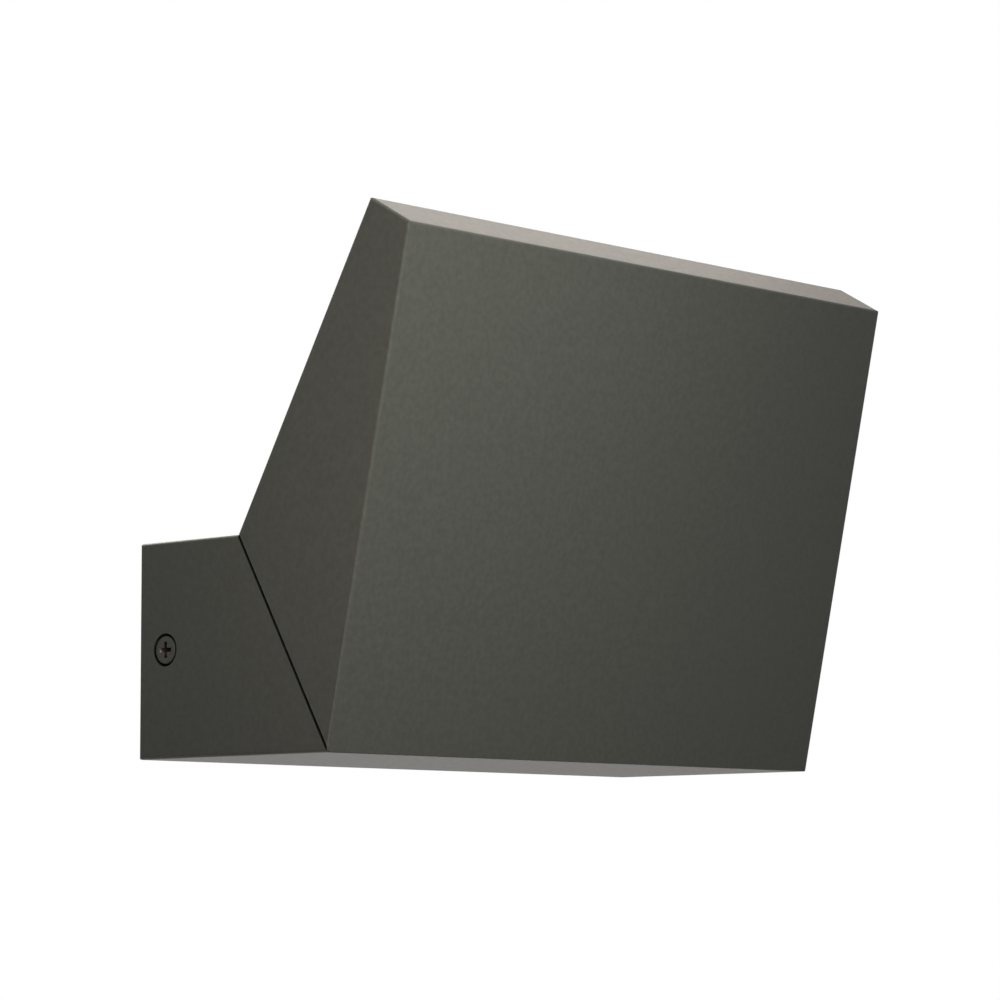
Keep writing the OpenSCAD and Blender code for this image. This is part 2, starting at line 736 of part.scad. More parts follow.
// Swivel, head side: hollow spigot whose flats sit between two ribs of the head
module swivel_spigot() {
    color(zinc) at_seam() difference() {
        union() {
            translate([0, 0, spigot_end_n])
                cylinder(h = flange_n - spigot_end_n + eps, r = spigot_r, $fn = 96);
            intersection() {
                translate([0, 0, flange_n]) cylinder(h = flange_t, r = flange_r, $fn = 96);
                translate([-flange_r - past, -flange_flats / 2, flange_n - past])
                    cube([2 * flange_r + 2 * past, flange_flats, flange_t + 2 * past]);
            }
        }
        translate([0, 0, spigot_end_n - past])
            cylinder(h = flange_n + flange_t - spigot_end_n + 2 * past, r = spigot_bore_r, $fn = 96);
        translate([0, 0, flange_n + flange_t - 1])
            cylinder(h = 1 + eps, r1 = spigot_bore_r, r2 = spigot_bore_r + 1, $fn = 96);
        translate([0, 0, spigot_end_n - eps])
            cylinder(h = 1, r1 = spigot_bore_r + 1, r2 = spigot_bore_r, $fn = 96);
    }
}

module flange_gasket() {
    color(rubber) at_seam() ring(spigot_r + fit_gap, flange_flats / 2, head_seam_n, flange_n);
}

module disc_spring() {
    inner = spigot_r + fit_gap;
    outer = nut_washer_r - 0.5;
    color(zinc) at_seam() rotate_extrude($fn = 96) polygon([
        [inner, spring_n - spring_t - spring_rise], [inner, spring_n - spring_rise],
        [outer, spring_n], [outer, spring_n - spring_t]
    ]);
}

module swivel_nut() {
    corner_r = nut_flats / 2 / cos(30);
    color(zinc) at_seam() translate([0, 0, nut_n - nut_t]) difference() {
        intersection() {
            cylinder(h = nut_t, r = corner_r, $fn = 6);
            rotate_extrude($fn = 96) polygon([
                [0, 0], [corner_r - 1.6, 0], [corner_r + 0.2, 1], [corner_r + 0.2, nut_t - 1],
                [corner_r - 1.6, nut_t], [0, nut_t]
            ]);
        }
        translate([0, 0, -past]) cylinder(h = nut_t + 2 * past, r = spigot_r + thread_gap, $fn = 96);
    }
}

module stop_pin() {
    reach = stop_groove_d - 0.4;
    color(zinc) at_seam() translate([stop_r, 0, -reach])
        cylinder(h = reach + seam_gap + pin_in_head, r = pin_r, $fn = 48);
}

// Cast head: a wedge, open at the outlet, with a rebate for the glass and a seat for the board
module head_shell() {
    color(coat) difference() {
        union() {
            at_outlet() difference() {
                soft_prism(head_profile, head_radii, head_side_radii, light_w);
                across(2 * inner_x) polygon(rounded_outline(head_inside, [0, 0, core_r, core_r]));
                outlet_cuts();
            }
            at_outlet() board_seat();
            at_seam() key_ribs();
        }
        at_seam() head_swivel_cuts();
        at_outlet() head_screw_cores();
    }
}

module outlet_cuts() {
    round_plate(outlet_x, outlet_u0, outlet_u1, core_r, -past, glass_v);
    round_plate(glass_x + pocket_gap, glass_u0 - pocket_gap, glass_u1 + pocket_gap,
        glass_corner_r + pocket_gap, -past, ledge_v);
    round_plate(window_x, window_u0, window_u1, ledge_corner_r, -past, cavity_v + past);
    relief_gap = 6;
    for (side = [-1, 1], k = [0, 1])
        translate([side * (relief_x0 + relief_x1) / 2, 0, 0])
            round_plate((relief_x1 - relief_x0) / 2, frame_screw_rows[k] + relief_gap,
                frame_screw_rows[k + 1] - relief_gap, 1.5, glass_v - past, ledge_v + 1);
}

// Seat of the board: a plate on cast ribs that run to the front wall
module board_seat() {
    u0 = board_u - board_w / 2 - seat_margin;
    u1 = board_u + board_w / 2 + seat_margin;
    seat_x = board_len / 2 + seat_margin;
    ribs = floor(seat_x / seat_rib_pitch);
    root = wall_t / 2;
    across(2 * seat_x) polygon([
        [u0, seat_v], [u1, seat_v], [u1, seat_v + seat_plate_t], [u0, seat_v + seat_plate_t]
    ]);
    for (k = [-ribs : ribs]) across(rib_t, k * seat_rib_pitch) polygon([
        [u0, seat_v + 1], [u1, seat_v + 1], [u1, front_v(u1, root)], [u0, front_v(u0, root)]
    ]);
    for (x = board_screw_x) translate([x, board_u, seat_v])
        cylinder(h = front_v(board_u, root) - seat_v, r = 3.2, $fn = 48);
}

module key_ribs() {
    middle_t = flange_flats / 2 + fit_gap + key_rib_t / 2;
    for (side = [-1, 1])
        translate([-flange_r, side * middle_t - key_rib_t / 2, head_seam_n - 1])
            cube([2 * flange_r, key_rib_t, key_rib_h + 1]);
}

module head_swivel_cuts() {
    cylinder(h = head_seam_n + past, r = spigot_r + fit_gap, $fn = 96);
    translate([stop_r, 0, 0]) cylinder(h = seam_gap + pin_in_head, r = pin_r, $fn = 48);
}

module head_screw_cores() {
    for (x = board_screw_x) translate([x, board_u, seat_v - past])
        cylinder(h = 6 + past, r = m3_core_r, $fn = 32);
    for (side = [-1, 1], u = frame_screw_rows) translate([side * frame_screw_x, u, glass_v - past])
        cylinder(h = 6 + past, r = m3_core_r, $fn = 32);
}

// Light engine
module thermal_pad() {
    color([0.55, 0.6, 0.68]) at_outlet() difference() {
        across(board_len) polygon([
            [board_u - board_w / 2, board_v + board_t], [board_u + board_w / 2, board_v + board_t],
            [board_u + board_w / 2, seat_v], [board_u - board_w / 2, seat_v]
        ]);
        board_screw_holes();
    }
}

module led_board() {
    color([0.92, 0.92, 0.9]) at_outlet() difference() {
        across(board_len) polygon([
            [board_u - board_w / 2, board_v], [board_u + board_w / 2, board_v],
            [board_u + board_w / 2, board_v + board_t], [board_u - board_w / 2, board_v + board_t]
        ]);
        board_screw_holes();
    }
}

module board_screw_holes() {
    for (x = board_screw_x) translate([x, board_u, board_v - past])
        cylinder(h = board_t + pad_t + 2 * past, r = m3_r + fit_gap, $fn = 32);
}

module led_chips() {
    color([0.95, 0.85, 0.45]) at_outlet()
        for (k = [0 : chip_count - 1], row = [-1, 1]) {
            x = (k - (chip_count - 1) / 2) * chip_pitch;
            translate([x, board_u + row * chip_row, board_v - chip_t / 2])
                cube([chip, chip, chip_t], center = true);
        }
}

module board_connector() {
    color([0.93, 0.93, 0.9]) at_outlet()
        translate([-board_len / 2 + 1, board_u - connector_w / 2, board_v - connector_h])
            cube([connector_len, connector_w, connector_h]);
}

module board_screws() {
    color(zinc) at_outlet() for (x = board_screw_x)
        translate([x, board_u, board_v]) rotate([180, 0, 0])
            pan_screw(m3_core_r, m3_head_r, 2, 7);
}

// White reflector: a flange under the glass gasket and a funnel down to the board
module reflector() {
    t = reflector_t;
    mouth_u0 = board_u - mouth_half_u;
    mouth_u1 = board_u + mouth_half_u;
    color([0.93, 0.93, 0.93]) at_outlet() difference() {
        union() {
            round_plate(glass_x, glass_u0, glass_u1, glass_corner_r, flange_v, ledge_v);
            funnel(window_x - fit_gap, window_u0 + fit_gap, window_u1 - fit_gap, ledge_v - eps,
                mouth_x + t, mouth_u0 - t, mouth_u1 + t, reflector_v);
        }
        funnel_cut(mouth_u0, mouth_u1);
    }
}

module funnel_cut(mouth_u0, mouth_u1) {
    inset = reflector_t + 2 * fit_gap;
    depth = reflector_v - ledge_v;
    grow = past / depth;
    x0 = window_x - inset;
    u0 = window_u0 + inset;
    u1 = window_u1 - inset;
    funnel(x0 + (x0 - mouth_x) * grow, u0 - (mouth_u0 - u0) * grow, u1 + (u1 - mouth_u1) * grow,
        ledge_v - past,
        mouth_x - (x0 - mouth_x) * grow, mouth_u0 + (mouth_u0 - u0) * grow,
        mouth_u1 - (u1 - mouth_u1) * grow, reflector_v + past);
}

// Outlet cover: gasket, glass and the frame that holds them
module glass_gasket() {
    color(rubber) at_outlet() difference() {
        round_plate(glass_x, glass_u0, glass_u1, glass_corner_r, glass_gasket_v, flange_v);
        round_plate(window_x, window_u0, window_u1, glass_corner_r, glass_gasket_v - past, flange_v + past);
    }
}

module diffuser_glass() {
    color([0.9, 0.95, 0.95, 0.6]) at_outlet()
        round_plate(glass_x, glass_u0, glass_u1, glass_corner_r, glass_v, glass_gasket_v);
}

module glass_frame() {
    color(coat) at_outlet() difference() {
        round_plate(outlet_x - fit_gap, outlet_u0 + fit_gap, outlet_u1 - fit_gap, core_r, frame_v, glass_v);
        round_plate(window_x, window_u0, window_u1, glass_corner_r, frame_v - past, glass_v + past);
        for (side = [-1, 1], u = frame_screw_rows) translate([side * frame_screw_x, u, frame_v - eps]) {
            cylinder(h = frame_t + past, r = m3_r + fit_gap, $fn = 32);
            cylinder(h = 1.25, r1 = m3_head_r + fit_gap, r2 = m3_r + fit_gap, $fn = 48);
        }
    }
}

module frame_screws() {
    color(zinc) at_outlet() for (side = [-1, 1], u = frame_screw_rows)
        translate([side * frame_screw_x, u, frame_v + 0.05]) rotate([180, 0, 0])
            countersunk_screw(m3_core_r, m3_head_r - 0.1, 7);
}

// Driver: a potted case with a screw lug at each end, on pads of the seam wall
function driver_screw_places() = [
    for (x = [driver_x - lug_len / 2 + 0.5, driver_x + driver_len + lug_len / 2 - 0.5])
        [x, driver_t_mid + (x < driver_x ? -driver_w / 2 + 6 : driver_w / 2 - 6)]
];

module led_driver() {
    r = 2;
    color([0.88, 0.88, 0.86]) at_seam() difference() {
        union() {
            translate([driver_x + driver_len / 2, 0, 0])
                round_plate(driver_len / 2, driver_t_mid - driver_w / 2, driver_t_mid + driver_w / 2,
                    r, seat_n - driver_h, seat_n);
            for (p = driver_screw_places()) driver_lug(p);
        }
        for (p = driver_screw_places()) translate([p[0], p[1], seat_n - lug_t - past])
            cylinder(h = lug_t + 2 * past, r = m3_r + fit_gap, $fn = 32);
    }
}

module driver_lug(p) {
    toward = p[0] < driver_x ? 1 : -1;
    translate([p[0], p[1], seat_n - lug_t]) {
        cylinder(h = lug_t, r = lug_len / 2, $fn = 48);
        translate([toward > 0 ? 0 : -lug_len, -lug_len / 2, 0]) cube([lug_len, lug_len, lug_t]);
    }
}

module driver_screws() {
    color(zinc) at_seam() for (p = driver_screw_places())
        translate([p[0], p[1], seat_n - lug_t]) rotate([180, 0, 0])
            pan_screw(m3_core_r, m3_head_r, 2, lug_t + 4.5);
}

// Three-pole terminal block with brass clamps, screws facing the wall
function pole_places() = [for (k = [-1, 0, 1]) -block_x + k * pole_pitch];
function block_screw_places() = [for (k = [-0.5, 0.5]) [-block_x + k * pole_pitch, 0]];

module terminal_block() {
    color([0.9, 0.9, 0.88]) at_seam() difference() {
        union() {
            translate([-block_x, 0, 0])
                round_plate(block_len / 2, -block_d / 2, block_d / 2, 1, seat_n - block_h * 0.55, seat_n);
            for (x = pole_places()) translate([x, 0, 0])
                round_plate(pole_pitch * 0.4, -block_d / 2 + 1.5, block_d / 2 - 1.5, 1,
                    seat_n - block_h, seat_n - block_h * 0.5);
        }
        for (x = pole_places()) translate([x, 0, block_lead_n]) {
            rotate([90, 0, 0])
                cylinder(h = block_d + 2 * past, r = clamp_r + thread_gap, center = true, $fn = 48);
            for (end = [-1, 1]) translate([0, end * clamp_screw_t, -block_h])
                cylinder(h = block_h, r = 2.2, $fn = 32);
        }
        for (p = block_screw_places()) translate([p[0], p[1], seat_n - block_h - past]) {
            cylinder(h = block_h + 2 * past, r = 1.35, $fn = 32);
            cylinder(h = block_h * 0.5 + past, r = 2.1, $fn = 32);
        }
    }
}

module terminal_clamps() {
    color(brass) at_seam() for (x = pole_places()) translate([x, 0, block_lead_n]) difference() {
        rotate([90, 0, 0]) cylinder(h = clamp_len, r = clamp_r, center = true, $fn = 48);
        rotate([90, 0, 0]) cylinder(h = clamp_len + 2 * past, r = clamp_bore_r, center = true, $fn = 48);
        for (end = [-1, 1]) translate([0, end * clamp_screw_t, -clamp_r - past])
            cylinder(h = clamp_r + past, r = clamp_screw_r + thread_gap, $fn = 32);
    }
}

module terminal_screws() {
    color(zinc) at_seam() for (x = pole_places(), end = [-1, 1])
        translate([x, end * clamp_screw_t, block_lead_n - clamp_bore_r + 0.6]) difference() {
            translate([0, 0, -5.2]) cylinder(h = 5.2, r = clamp_screw_r, $fn = 32);
            translate([-0.25, -2, -5.2 - past]) cube([0.5, 4, past + 0.9]);
        }
}

module block_screws() {
    color(zinc) at_seam() for (p = block_screw_places())
        translate([p[0], p[1], seat_n - block_h * 0.5]) rotate([180, 0, 0])
            pan_screw(1, 1.9, 1.4, block_h * 0.5 + 4);
}

// Earth connection of the casting
module earth_screw() {
    color(zinc) at_seam() translate([-earth_x, 0, box_seam_n - earth_boss_h - tag_t]) rotate([180, 0, 0])
        pan_screw(1.65, 3.6, 2.4, tag_t + 4.5);
}

module earth_tag() {
    n0 = box_seam_n - earth_boss_h - tag_t;
    color(zinc) at_seam() {
        difference() {
            union() {
                translate([-earth_x, 0, n0]) cylinder(h = tag_t, r = 4, $fn = 48);
                translate([-earth_x - 1.6, 0, n0]) cube([3.2, 7, tag_t]);
            }
            translate([-earth_x, 0, n0 - past]) cylinder(h = tag_t + 2 * past, r = 1.8, $fn = 32);
        }
        translate([-earth_x, 6, n0 + tag_t - 1.7]) rotate([-90, 0, 0]) cylinder(h = 5, r = 1.7, $fn = 32);
    }
}

// Routes of the leads. Mains and earth leads leave the upper side of the terminal block.
function inside(x, y, z) = [x, -y * box_top_d, z * box_inner_z];

block_top_t = block_d / 2;
line_x = -block_x - pole_pitch;
earth_pole_x = -block_x + pole_pitch;
line_start = from_seam([line_x, block_top_t, block_lead_n]);
neutral_start = from_seam([-block_x, block_top_t, block_lead_n]);
earth_start = from_seam([earth_pole_x, block_top_t, block_lead_n]);
up_5 = from_seam([0, 5, 0]) - from_seam([0, 0, 0]);
line_end = from_seam([driver_far_x, driver_t_mid + 4, driver_lead_n]);
neutral_end = from_seam([driver_far_x, driver_t_mid - 4, driver_lead_n]);
earth_end = from_seam([-earth_x, 11, box_seam_n - earth_boss_h - 1.7]);

line_route = [
    line_start, line_start + up_5, inside(line_x + 4, 0.79, 0.48), inside(line_x + 14, 0.62, 0.7),
    inside(-0.39 * half_w, 0.49, 0.81), inside(0, 0.44, 0.81), inside(0.39 * half_w, 0.44, 0.78),
    inside(driver_far_x - 12, 0.46, 0.67), inside(driver_far_x + 2, 0.59, 0.44),
    inside(driver_far_x + 7, 0.79, 0.19), line_end + [5, 0, 0], line_end
];
neutral_route = [
    neutral_start, neutral_start + up_5, inside(-block_x + 3, 0.77, 0.44),
    inside(-block_x + 12, 0.56, 0.59), inside(-0.35 * half_w, 0.41, 0.67), inside(0, 0.33, 0.67),
    inside(0.39 * half_w, 0.33, 0.59), inside(driver_far_x - 14, 0.33, 0.52),
    inside(driver_far_x + 1, 0.46, 0.19), inside(driver_far_x + 6, 0.74, -0.19),
    neutral_end + [5, 0, 0], neutral_end
];
earth_route = [
    earth_start, earth_start + up_5, inside(earth_pole_x + 3, 0.77, 0.41),
    inside(-earth_x - 11, 0.74, 0.56), inside(-earth_x - 3, 0.85, 0.56),
    earth_end + 0.8 * up_5, earth_end
];

module mains_leads() {
    color([0.5, 0.3, 0.18]) lead(line_route, lead_r, 8, 2);
    color([0.25, 0.4, 0.7]) lead(neutral_route, lead_r, 8, 2);
}

module earth_lead() {
    color([0.5, 0.7, 0.2]) lead(earth_route, lead_r, 8, 2);
}

// Low-voltage leads: they meet face to face on the swivel's axis, in the middle of the seam gap
seam_mid_n = seam_gap / 2;
driver_near = from_seam([driver_x, driver_t_mid, driver_lead_n]);
box_led_route = concat(
    [driver_near, driver_near - [5, 0, 0]],
    [inside(driver_x - 12, 0.82, -0.41), inside(6, 0.62, -0.63)],
    [from_seam([0, 0, -32]), from_seam([0, 0, -24]), from_seam([0, 0, -12]), from_seam([0, 0, seam_mid_n])]
);

function on_axis(n) = [0, -box_h / 2 * tan_s + n * cos_s, box_h / 2 + n * sin_s];
connector_mid = [-board_len / 2 + 1 + connector_len / 2, board_u - connector_w / 2, board_v - 1.75];
head_led_route = concat(
    [on_axis(seam_mid_n), on_axis(8), on_axis(14)],
    [[-8, 1, 37], [-24, 6, 33], [-48, 13, 28], [-68, 21, 23]],
    [connector_mid + [0, -14, 0], connector_mid + [0, -6, 0], connector_mid]
);

module box_led_lead() {
    color([0.85, 0.85, 0.85]) lead(box_led_route, led_lead_r, 8, 2);
}

module head_led_lead() {
    color([0.85, 0.85, 0.85]) at_outlet() lead(head_led_route, led_lead_r, 8, 2);
}

wall_bracket();
weld_nuts();
cable_grommet();
back_box();
wall_gasket();
side_screws();
terminal_block();
terminal_clamps();
terminal_screws();
block_screws();
earth_screw();
earth_tag();
earth_lead();
led_driver();
driver_screws();
mains_leads();
box_led_lead();
glide_ring();
swivel_o_ring();
friction_washer();
swivel_spigot();
flange_gasket();
disc_spring();
swivel_nut();
stop_pin();
head_shell();
head_led_lead();
thermal_pad();
led_board();
led_chips();
board_connector();
board_screws();
reflector();
glass_gasket();
diffuser_glass();
glass_frame();
frame_screws();
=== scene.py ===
# Outdoor wall light: a cast wall box and a cast wedge head that meet on a slanted swivel seam.
# The wall is the plane Y = 0, the light stands on its -Y side, and Z is up. Lengths are metres.
import math

import bmesh
import bpy
from mathutils import Matrix, Vector


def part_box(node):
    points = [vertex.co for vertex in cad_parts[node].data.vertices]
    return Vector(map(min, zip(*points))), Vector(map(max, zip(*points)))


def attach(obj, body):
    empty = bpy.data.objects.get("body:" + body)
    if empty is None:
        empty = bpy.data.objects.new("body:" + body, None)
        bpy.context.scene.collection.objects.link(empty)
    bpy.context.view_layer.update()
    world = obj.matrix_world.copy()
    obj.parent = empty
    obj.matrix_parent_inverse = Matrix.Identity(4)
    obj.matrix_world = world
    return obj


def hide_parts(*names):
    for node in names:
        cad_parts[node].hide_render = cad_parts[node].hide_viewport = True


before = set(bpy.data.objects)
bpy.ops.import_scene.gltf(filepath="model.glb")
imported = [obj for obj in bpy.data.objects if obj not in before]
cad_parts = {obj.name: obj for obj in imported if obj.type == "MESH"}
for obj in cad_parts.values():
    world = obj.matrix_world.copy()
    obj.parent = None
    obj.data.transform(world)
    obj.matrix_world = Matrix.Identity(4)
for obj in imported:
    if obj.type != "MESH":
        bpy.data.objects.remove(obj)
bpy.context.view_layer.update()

# Camera: a long lens, a little below the light and turned up, as the photograph was taken.
# Its place and its axes come from fitting the light's eleven visible corners.
camera_place = Vector((-0.7977, -0.7672, -0.0698))
camera_forward = Vector((0.7354, 0.6689, 0.1080)).normalized()
camera_right = Vector((0.6730, -0.7396, -0.0024)).normalized()
camera_data = bpy.data.cameras.new("camera")
camera_data.lens = 133.85
camera_data.sensor_width = 36
camera = bpy.data.objects.new("camera", camera_data)
camera_up = camera_right.cross(camera_forward)
camera_axes = Matrix((camera_right, camera_up, -camera_forward)).transposed()
camera.matrix_world = Matrix.Translation(camera_place) @ camera_axes.to_4x4()
bpy.context.scene.collection.objects.link(camera)
bpy.context.scene.camera = camera


# Wall bracket: 2 mm steel sheet, pressed up round the cable hole and bent into an ear at each
# end, deburred and bright zinc-plated. It is screwed to the wall through its two slots.
mm = 0.001


def merged(node):
    """Copy of a CAD node: its loose triangles are joined, and its flat faces made whole."""
    bm = bmesh.new()
    bm.from_mesh(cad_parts[node].data)
    bmesh.ops.remove_doubles(bm, verts=bm.verts, dist=0.002 * mm)
    bmesh.ops.dissolve_limit(bm, angle_limit=math.radians(0.3), verts=bm.verts, edges=bm.edges)
    return bm


def soften(bm, width, segments=2, chosen=lambda edge: True):
    """Rounds the sharp edges that chosen() accepts."""
    sharp = [e for e in bm.edges
             if e.is_manifold and e.calc_face_angle() > math.radians(35) and chosen(e)]
    bmesh.ops.bevel(bm, geom=sharp, offset=width, offset_type="OFFSET", segments=segments,
                    profile=0.5, affect="EDGES", clamp_overlap=True, material=-1)


def piece(name, bm, body, slot, finishes, *nodes):
    """Makes a bmesh a finished piece, smooth across its gentle edges, in place of CAD nodes."""
    mesh = bpy.data.meshes.new(name)
    bm.to_mesh(mesh)
    bm.free()
    for material in finishes:
        mesh.materials.append(material)
    mesh.shade_smooth()
    mesh.set_sharp_from_angle(angle=math.radians(32))
    obj = bpy.data.objects.new(name, mesh)
    bpy.context.scene.collection.objects.link(obj)
    even = obj.modifiers.new("even_normals", "WEIGHTED_NORMAL")
    even.keep_sharp = True
    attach(obj, body)
    if nodes:
        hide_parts(*nodes)


def finish(name, colour, roughness, metallic, grain, relief, spread=0.05, rough_spread=0.06,
           stretch=(1, 1, 1), cloud=30):
    """Material with a real surface's unevenness: grains of the given width and relief, under
    clouds that are so many grains wide and vary the colour and the roughness by their spreads."""
    material = bpy.data.materials.new(name)
    material.use_nodes = True
    tree = material.node_tree
    shader = tree.nodes["Principled BSDF"]
    shader.inputs["Metallic"].default_value = metallic
    place = tree.nodes.new("ShaderNodeTexCoord")
    mapping = tree.nodes.new("ShaderNodeMapping")
    mapping.inputs["Scale"].default_value = stretch
    tree.links.new(place.outputs["Object"], mapping.inputs["Vector"])
    fine = tree.nodes.new("ShaderNodeTexNoise")
    fine.inputs["Scale"].default_value = 1 / grain
    fine.inputs["Detail"].default_value = 3
    slow = tree.nodes.new("ShaderNodeTexNoise")
    slow.inputs["Scale"].default_value = 1 / (cloud * grain)
    slow.inputs["Detail"].default_value = 2
    tint = tree.nodes.new("ShaderNodeValToRGB")
    low, high = tint.color_ramp.elements
    low.position, high.position = 0.3, 0.7
    low.color = [c * (1 - spread) for c in colour] + [1]
    high.color = [min(c * (1 + spread), 1) for c in colour] + [1]
    gloss = tree.nodes.new("ShaderNodeMapRange")
    gloss.inputs["From Min"].default_value = 0.3
    gloss.inputs["From Max"].default_value = 0.7
    gloss.inputs["To Min"].default_value = roughness - rough_spread
    gloss.inputs["To Max"].default_value = roughness + rough_spread
    bump = tree.nodes.new("ShaderNodeBump")
    bump.inputs["Distance"].default_value = relief
    for noise in (fine, slow):
        tree.links.new(mapping.outputs["Vector"], noise.inputs["Vector"])
    tree.links.new(slow.outputs["Fac"], tint.inputs["Fac"])
    tree.links.new(tint.outputs["Color"], shader.inputs["Base Color"])
    tree.links.new(slow.outputs["Fac"], gloss.inputs["Value"])
    tree.links.new(gloss.outputs["Result"], shader.inputs["Roughness"])
    tree.links.new(fine.outputs["Fac"], bump.inputs["Height"])
    tree.links.new(bump.outputs["Normal"], shader.inputs["Normal"])
    return material


zinc = finish("zinc_plate", (0.62, 0.64, 0.67), roughness=0.34, metallic=1, grain=0.9 * mm,
              relief=0.004 * mm, spread=0.10, rough_spread=0.08, stretch=(1, 1, 0.12))
bracket = merged("wall_bracket")
soften(bracket, 0.2 * mm)
piece("bracket_plate", bracket, "wall_box", "zinc_steel", [zinc], "wall_bracket")

# Weld nuts: two hexagon steel nuts for the side screws, projection-welded to the inner sides of
# the ears and zinc-plated with the bracket.
nuts = merged("weld_nuts")
soften(nuts, 0.25 * mm)
piece("bracket_nuts", nuts, "wall_box", "zinc_steel", [zinc], "weld_nuts")


# Cable grommet: black rubber, moulded in one, snapped with its groove into the cable hole.
# Its snout is stepped so that it can be trimmed to the cable.
def turned(profile, place, steps=72, closed=True):
    """Spins a profile of (radius, height) points about the place's own Z axis."""
    bm = bmesh.new()
    verts = [bm.verts.new((r, 0, h)) for r, h in profile]
    pairs = list(zip(verts, verts[1:])) + ([(verts[-1], verts[0])] if closed else [])
    edges = [bm.edges.new(pair) for pair in pairs]
    bmesh.ops.spin(bm, geom=verts + edges, cent=(0, 0, 0), axis=(0, 0, 1), dvec=(0, 0, 0),
                   angle=2 * math.pi, steps=steps, use_merge=True)
    bmesh.ops.remove_doubles(bm, verts=bm.verts, dist=0.001 * mm)
    bmesh.ops.recalc_face_normals(bm, faces=bm.faces)
    bmesh.ops.transform(bm, matrix=place, verts=bm.verts)
    return bm


rubber = finish("black_rubber", (0.018, 0.018, 0.019), roughness=0.62, metallic=0, grain=0.5 * mm,
                relief=0.01 * mm, spread=0.12)
toward_room = Matrix.Rotation(math.radians(90), 4, "X")
grommet_low, grommet_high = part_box("cable_grommet")
grommet_r = grommet_high.x
grommet_back = -grommet_high.y
grommet_tip = -grommet_low.y
bore_r = 4.2 * mm
neck_r = 9.97 * mm
groove_back = 2.48 * mm
groove_front = 4.52 * mm
lip_front = 6.52 * mm
snout_foot_r = 7.6 * mm
snout_taper = 2 * mm
snout_steps = 4
step_height = (grommet_tip - lip_front) / snout_steps
snout = []
for k in range(snout_steps):
    r = snout_foot_r - snout_taper * (k + 0.5) / snout_steps
    low = lip_front + step_height * k
    high = lip_front + step_height * (k + 1)
    snout += [(r, low + 0.05 * mm), (r - 0.1 * mm, high - 0.25 * mm)]
snout += [(snout[-1][0] - 0.2 * mm, grommet_tip)]
grommet = turned([
    (bore_r, grommet_back + 0.3 * mm), (bore_r + 0.3 * mm, grommet_back),
    (grommet_r - 0.6 * mm, grommet_back), (grommet_r - 0.2 * mm, grommet_back + 0.2 * mm),
    (grommet_r, grommet_back + 0.6 * mm), (grommet_r, groove_back), (neck_r, groove_back),
    (neck_r, groove_front), (grommet_r - 0.5 * mm, groove_front),
    (grommet_r - 0.5 * mm, lip_front - 0.6 * mm), (grommet_r - 0.7 * mm, lip_front - 0.2 * mm),
    (grommet_r - 1.1 * mm, lip_front), *snout, (bore_r, grommet_tip)
], toward_room)
piece("grommet", grommet, "wall_box", "seal_rubber", [rubber], "cable_grommet")


# Wall box: pressure die-cast aluminium, open to the wall, under a fine powder coat in dark
# grey-green. The seam face, the swivel's boss and the rim are cast in one with it.
def powder_coat(name, colour):
    """Fine-textured polyester powder coat: a sandy relief, a soft sheen and faint clouding."""
    material = finish(name, colour, roughness=0.42, metallic=0, grain=0.55 * mm,
                      relief=0.012 * mm, spread=0.10, rough_spread=0.03, cloud=3)
    shader = material.node_tree.nodes["Principled BSDF"]
    shader.inputs["Specular IOR Level"].default_value = 0.17
    return material


coat = powder_coat("cast_powder_coat", (0.0450, 0.0450, 0.0375))
# The seam's own frame: X runs across, Y up the seam, and Z out of the box into the head.
seam_lean = math.radians(30)
seam_middle = Vector((0, -56.32 * mm, 0))
at_seam = Matrix.Translation(seam_middle) @ Matrix.Rotation(math.radians(90) - seam_lean, 4, "X")
from_seam = at_seam.inverted()
up_seam = at_seam.to_3x3() @ Vector((0, 1, 0))
seam_gap = 0.5 * mm
seam_edge = 0.24 * mm
slack = 0.02 * mm
side_skin_x = 102.75 * mm


def paint_seam_shade(bm, low, high):
    """Gives painted shade to the seam face and its side edges, between two heights over it: a very
    dark colour that stands in for the shade in the gap between box and head.
    """
    for face in bm.faces:
        flat = abs((from_seam.to_3x3() @ face.normal).z) > 0.99
        side_edge = abs(face.calc_center_median().x) > side_skin_x
        if (flat or side_edge) and all(low < (from_seam @ v.co).z < high for v in face.verts):
            face.material_index = 1


# Painted shade: a very dark, dull colour that stands in for the shade in the seam gap and in the
# recesses round the side screws. It is not a finish of the casting.
black = finish("painted_gap_shade", (0.012, 0.012, 0.010), roughness=0.7, metallic=0,
               grain=0.4 * mm, relief=0.01 * mm)
black.node_tree.nodes["Principled BSDF"].inputs["Specular IOR Level"].default_value = 0.03
rim_y = -0.05 * mm
box = merged("back_box")
soften(box, 0.2 * mm, chosen=lambda e: all(v.co.y > rim_y for v in e.verts))
# Painted shade on the box's seam face and its edges, for the shade in the gap between box and head.
paint_seam_shade(box, -seam_edge, slack)
# The recess round each side screw gets the same painted shade: a very dark colour that stands in
# for the shade in the ring round the screw's head.
side_screw_y = (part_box("side_screws")[0].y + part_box("side_screws")[1].y) / 2
recess_r = 4.65 * mm
recess_x = 90 * mm
for face in box.faces:
    middle = face.calc_center_median()
    off_axis = math.hypot(middle.y - side_screw_y, middle.z)
    if off_axis < recess_r and abs(middle.x) > recess_x and abs(face.normal.x) < 0.9:
        face.material_index = 1
piece("box_casting", box, "wall_box", "cast_coat", [coat, black], "back_box")

# Rim seal: a moulded silicone cord in the groove of the box's rim. The side screws draw the box
# back over the bracket, which presses the seal to the wall.
rim_seal = merged("wall_gasket")
soften(rim_seal, 0.35 * mm, segments=3)
piece("rim_seal", rim_seal, "wall_box", "seal_rubber", [rubber], "wall_gasket")
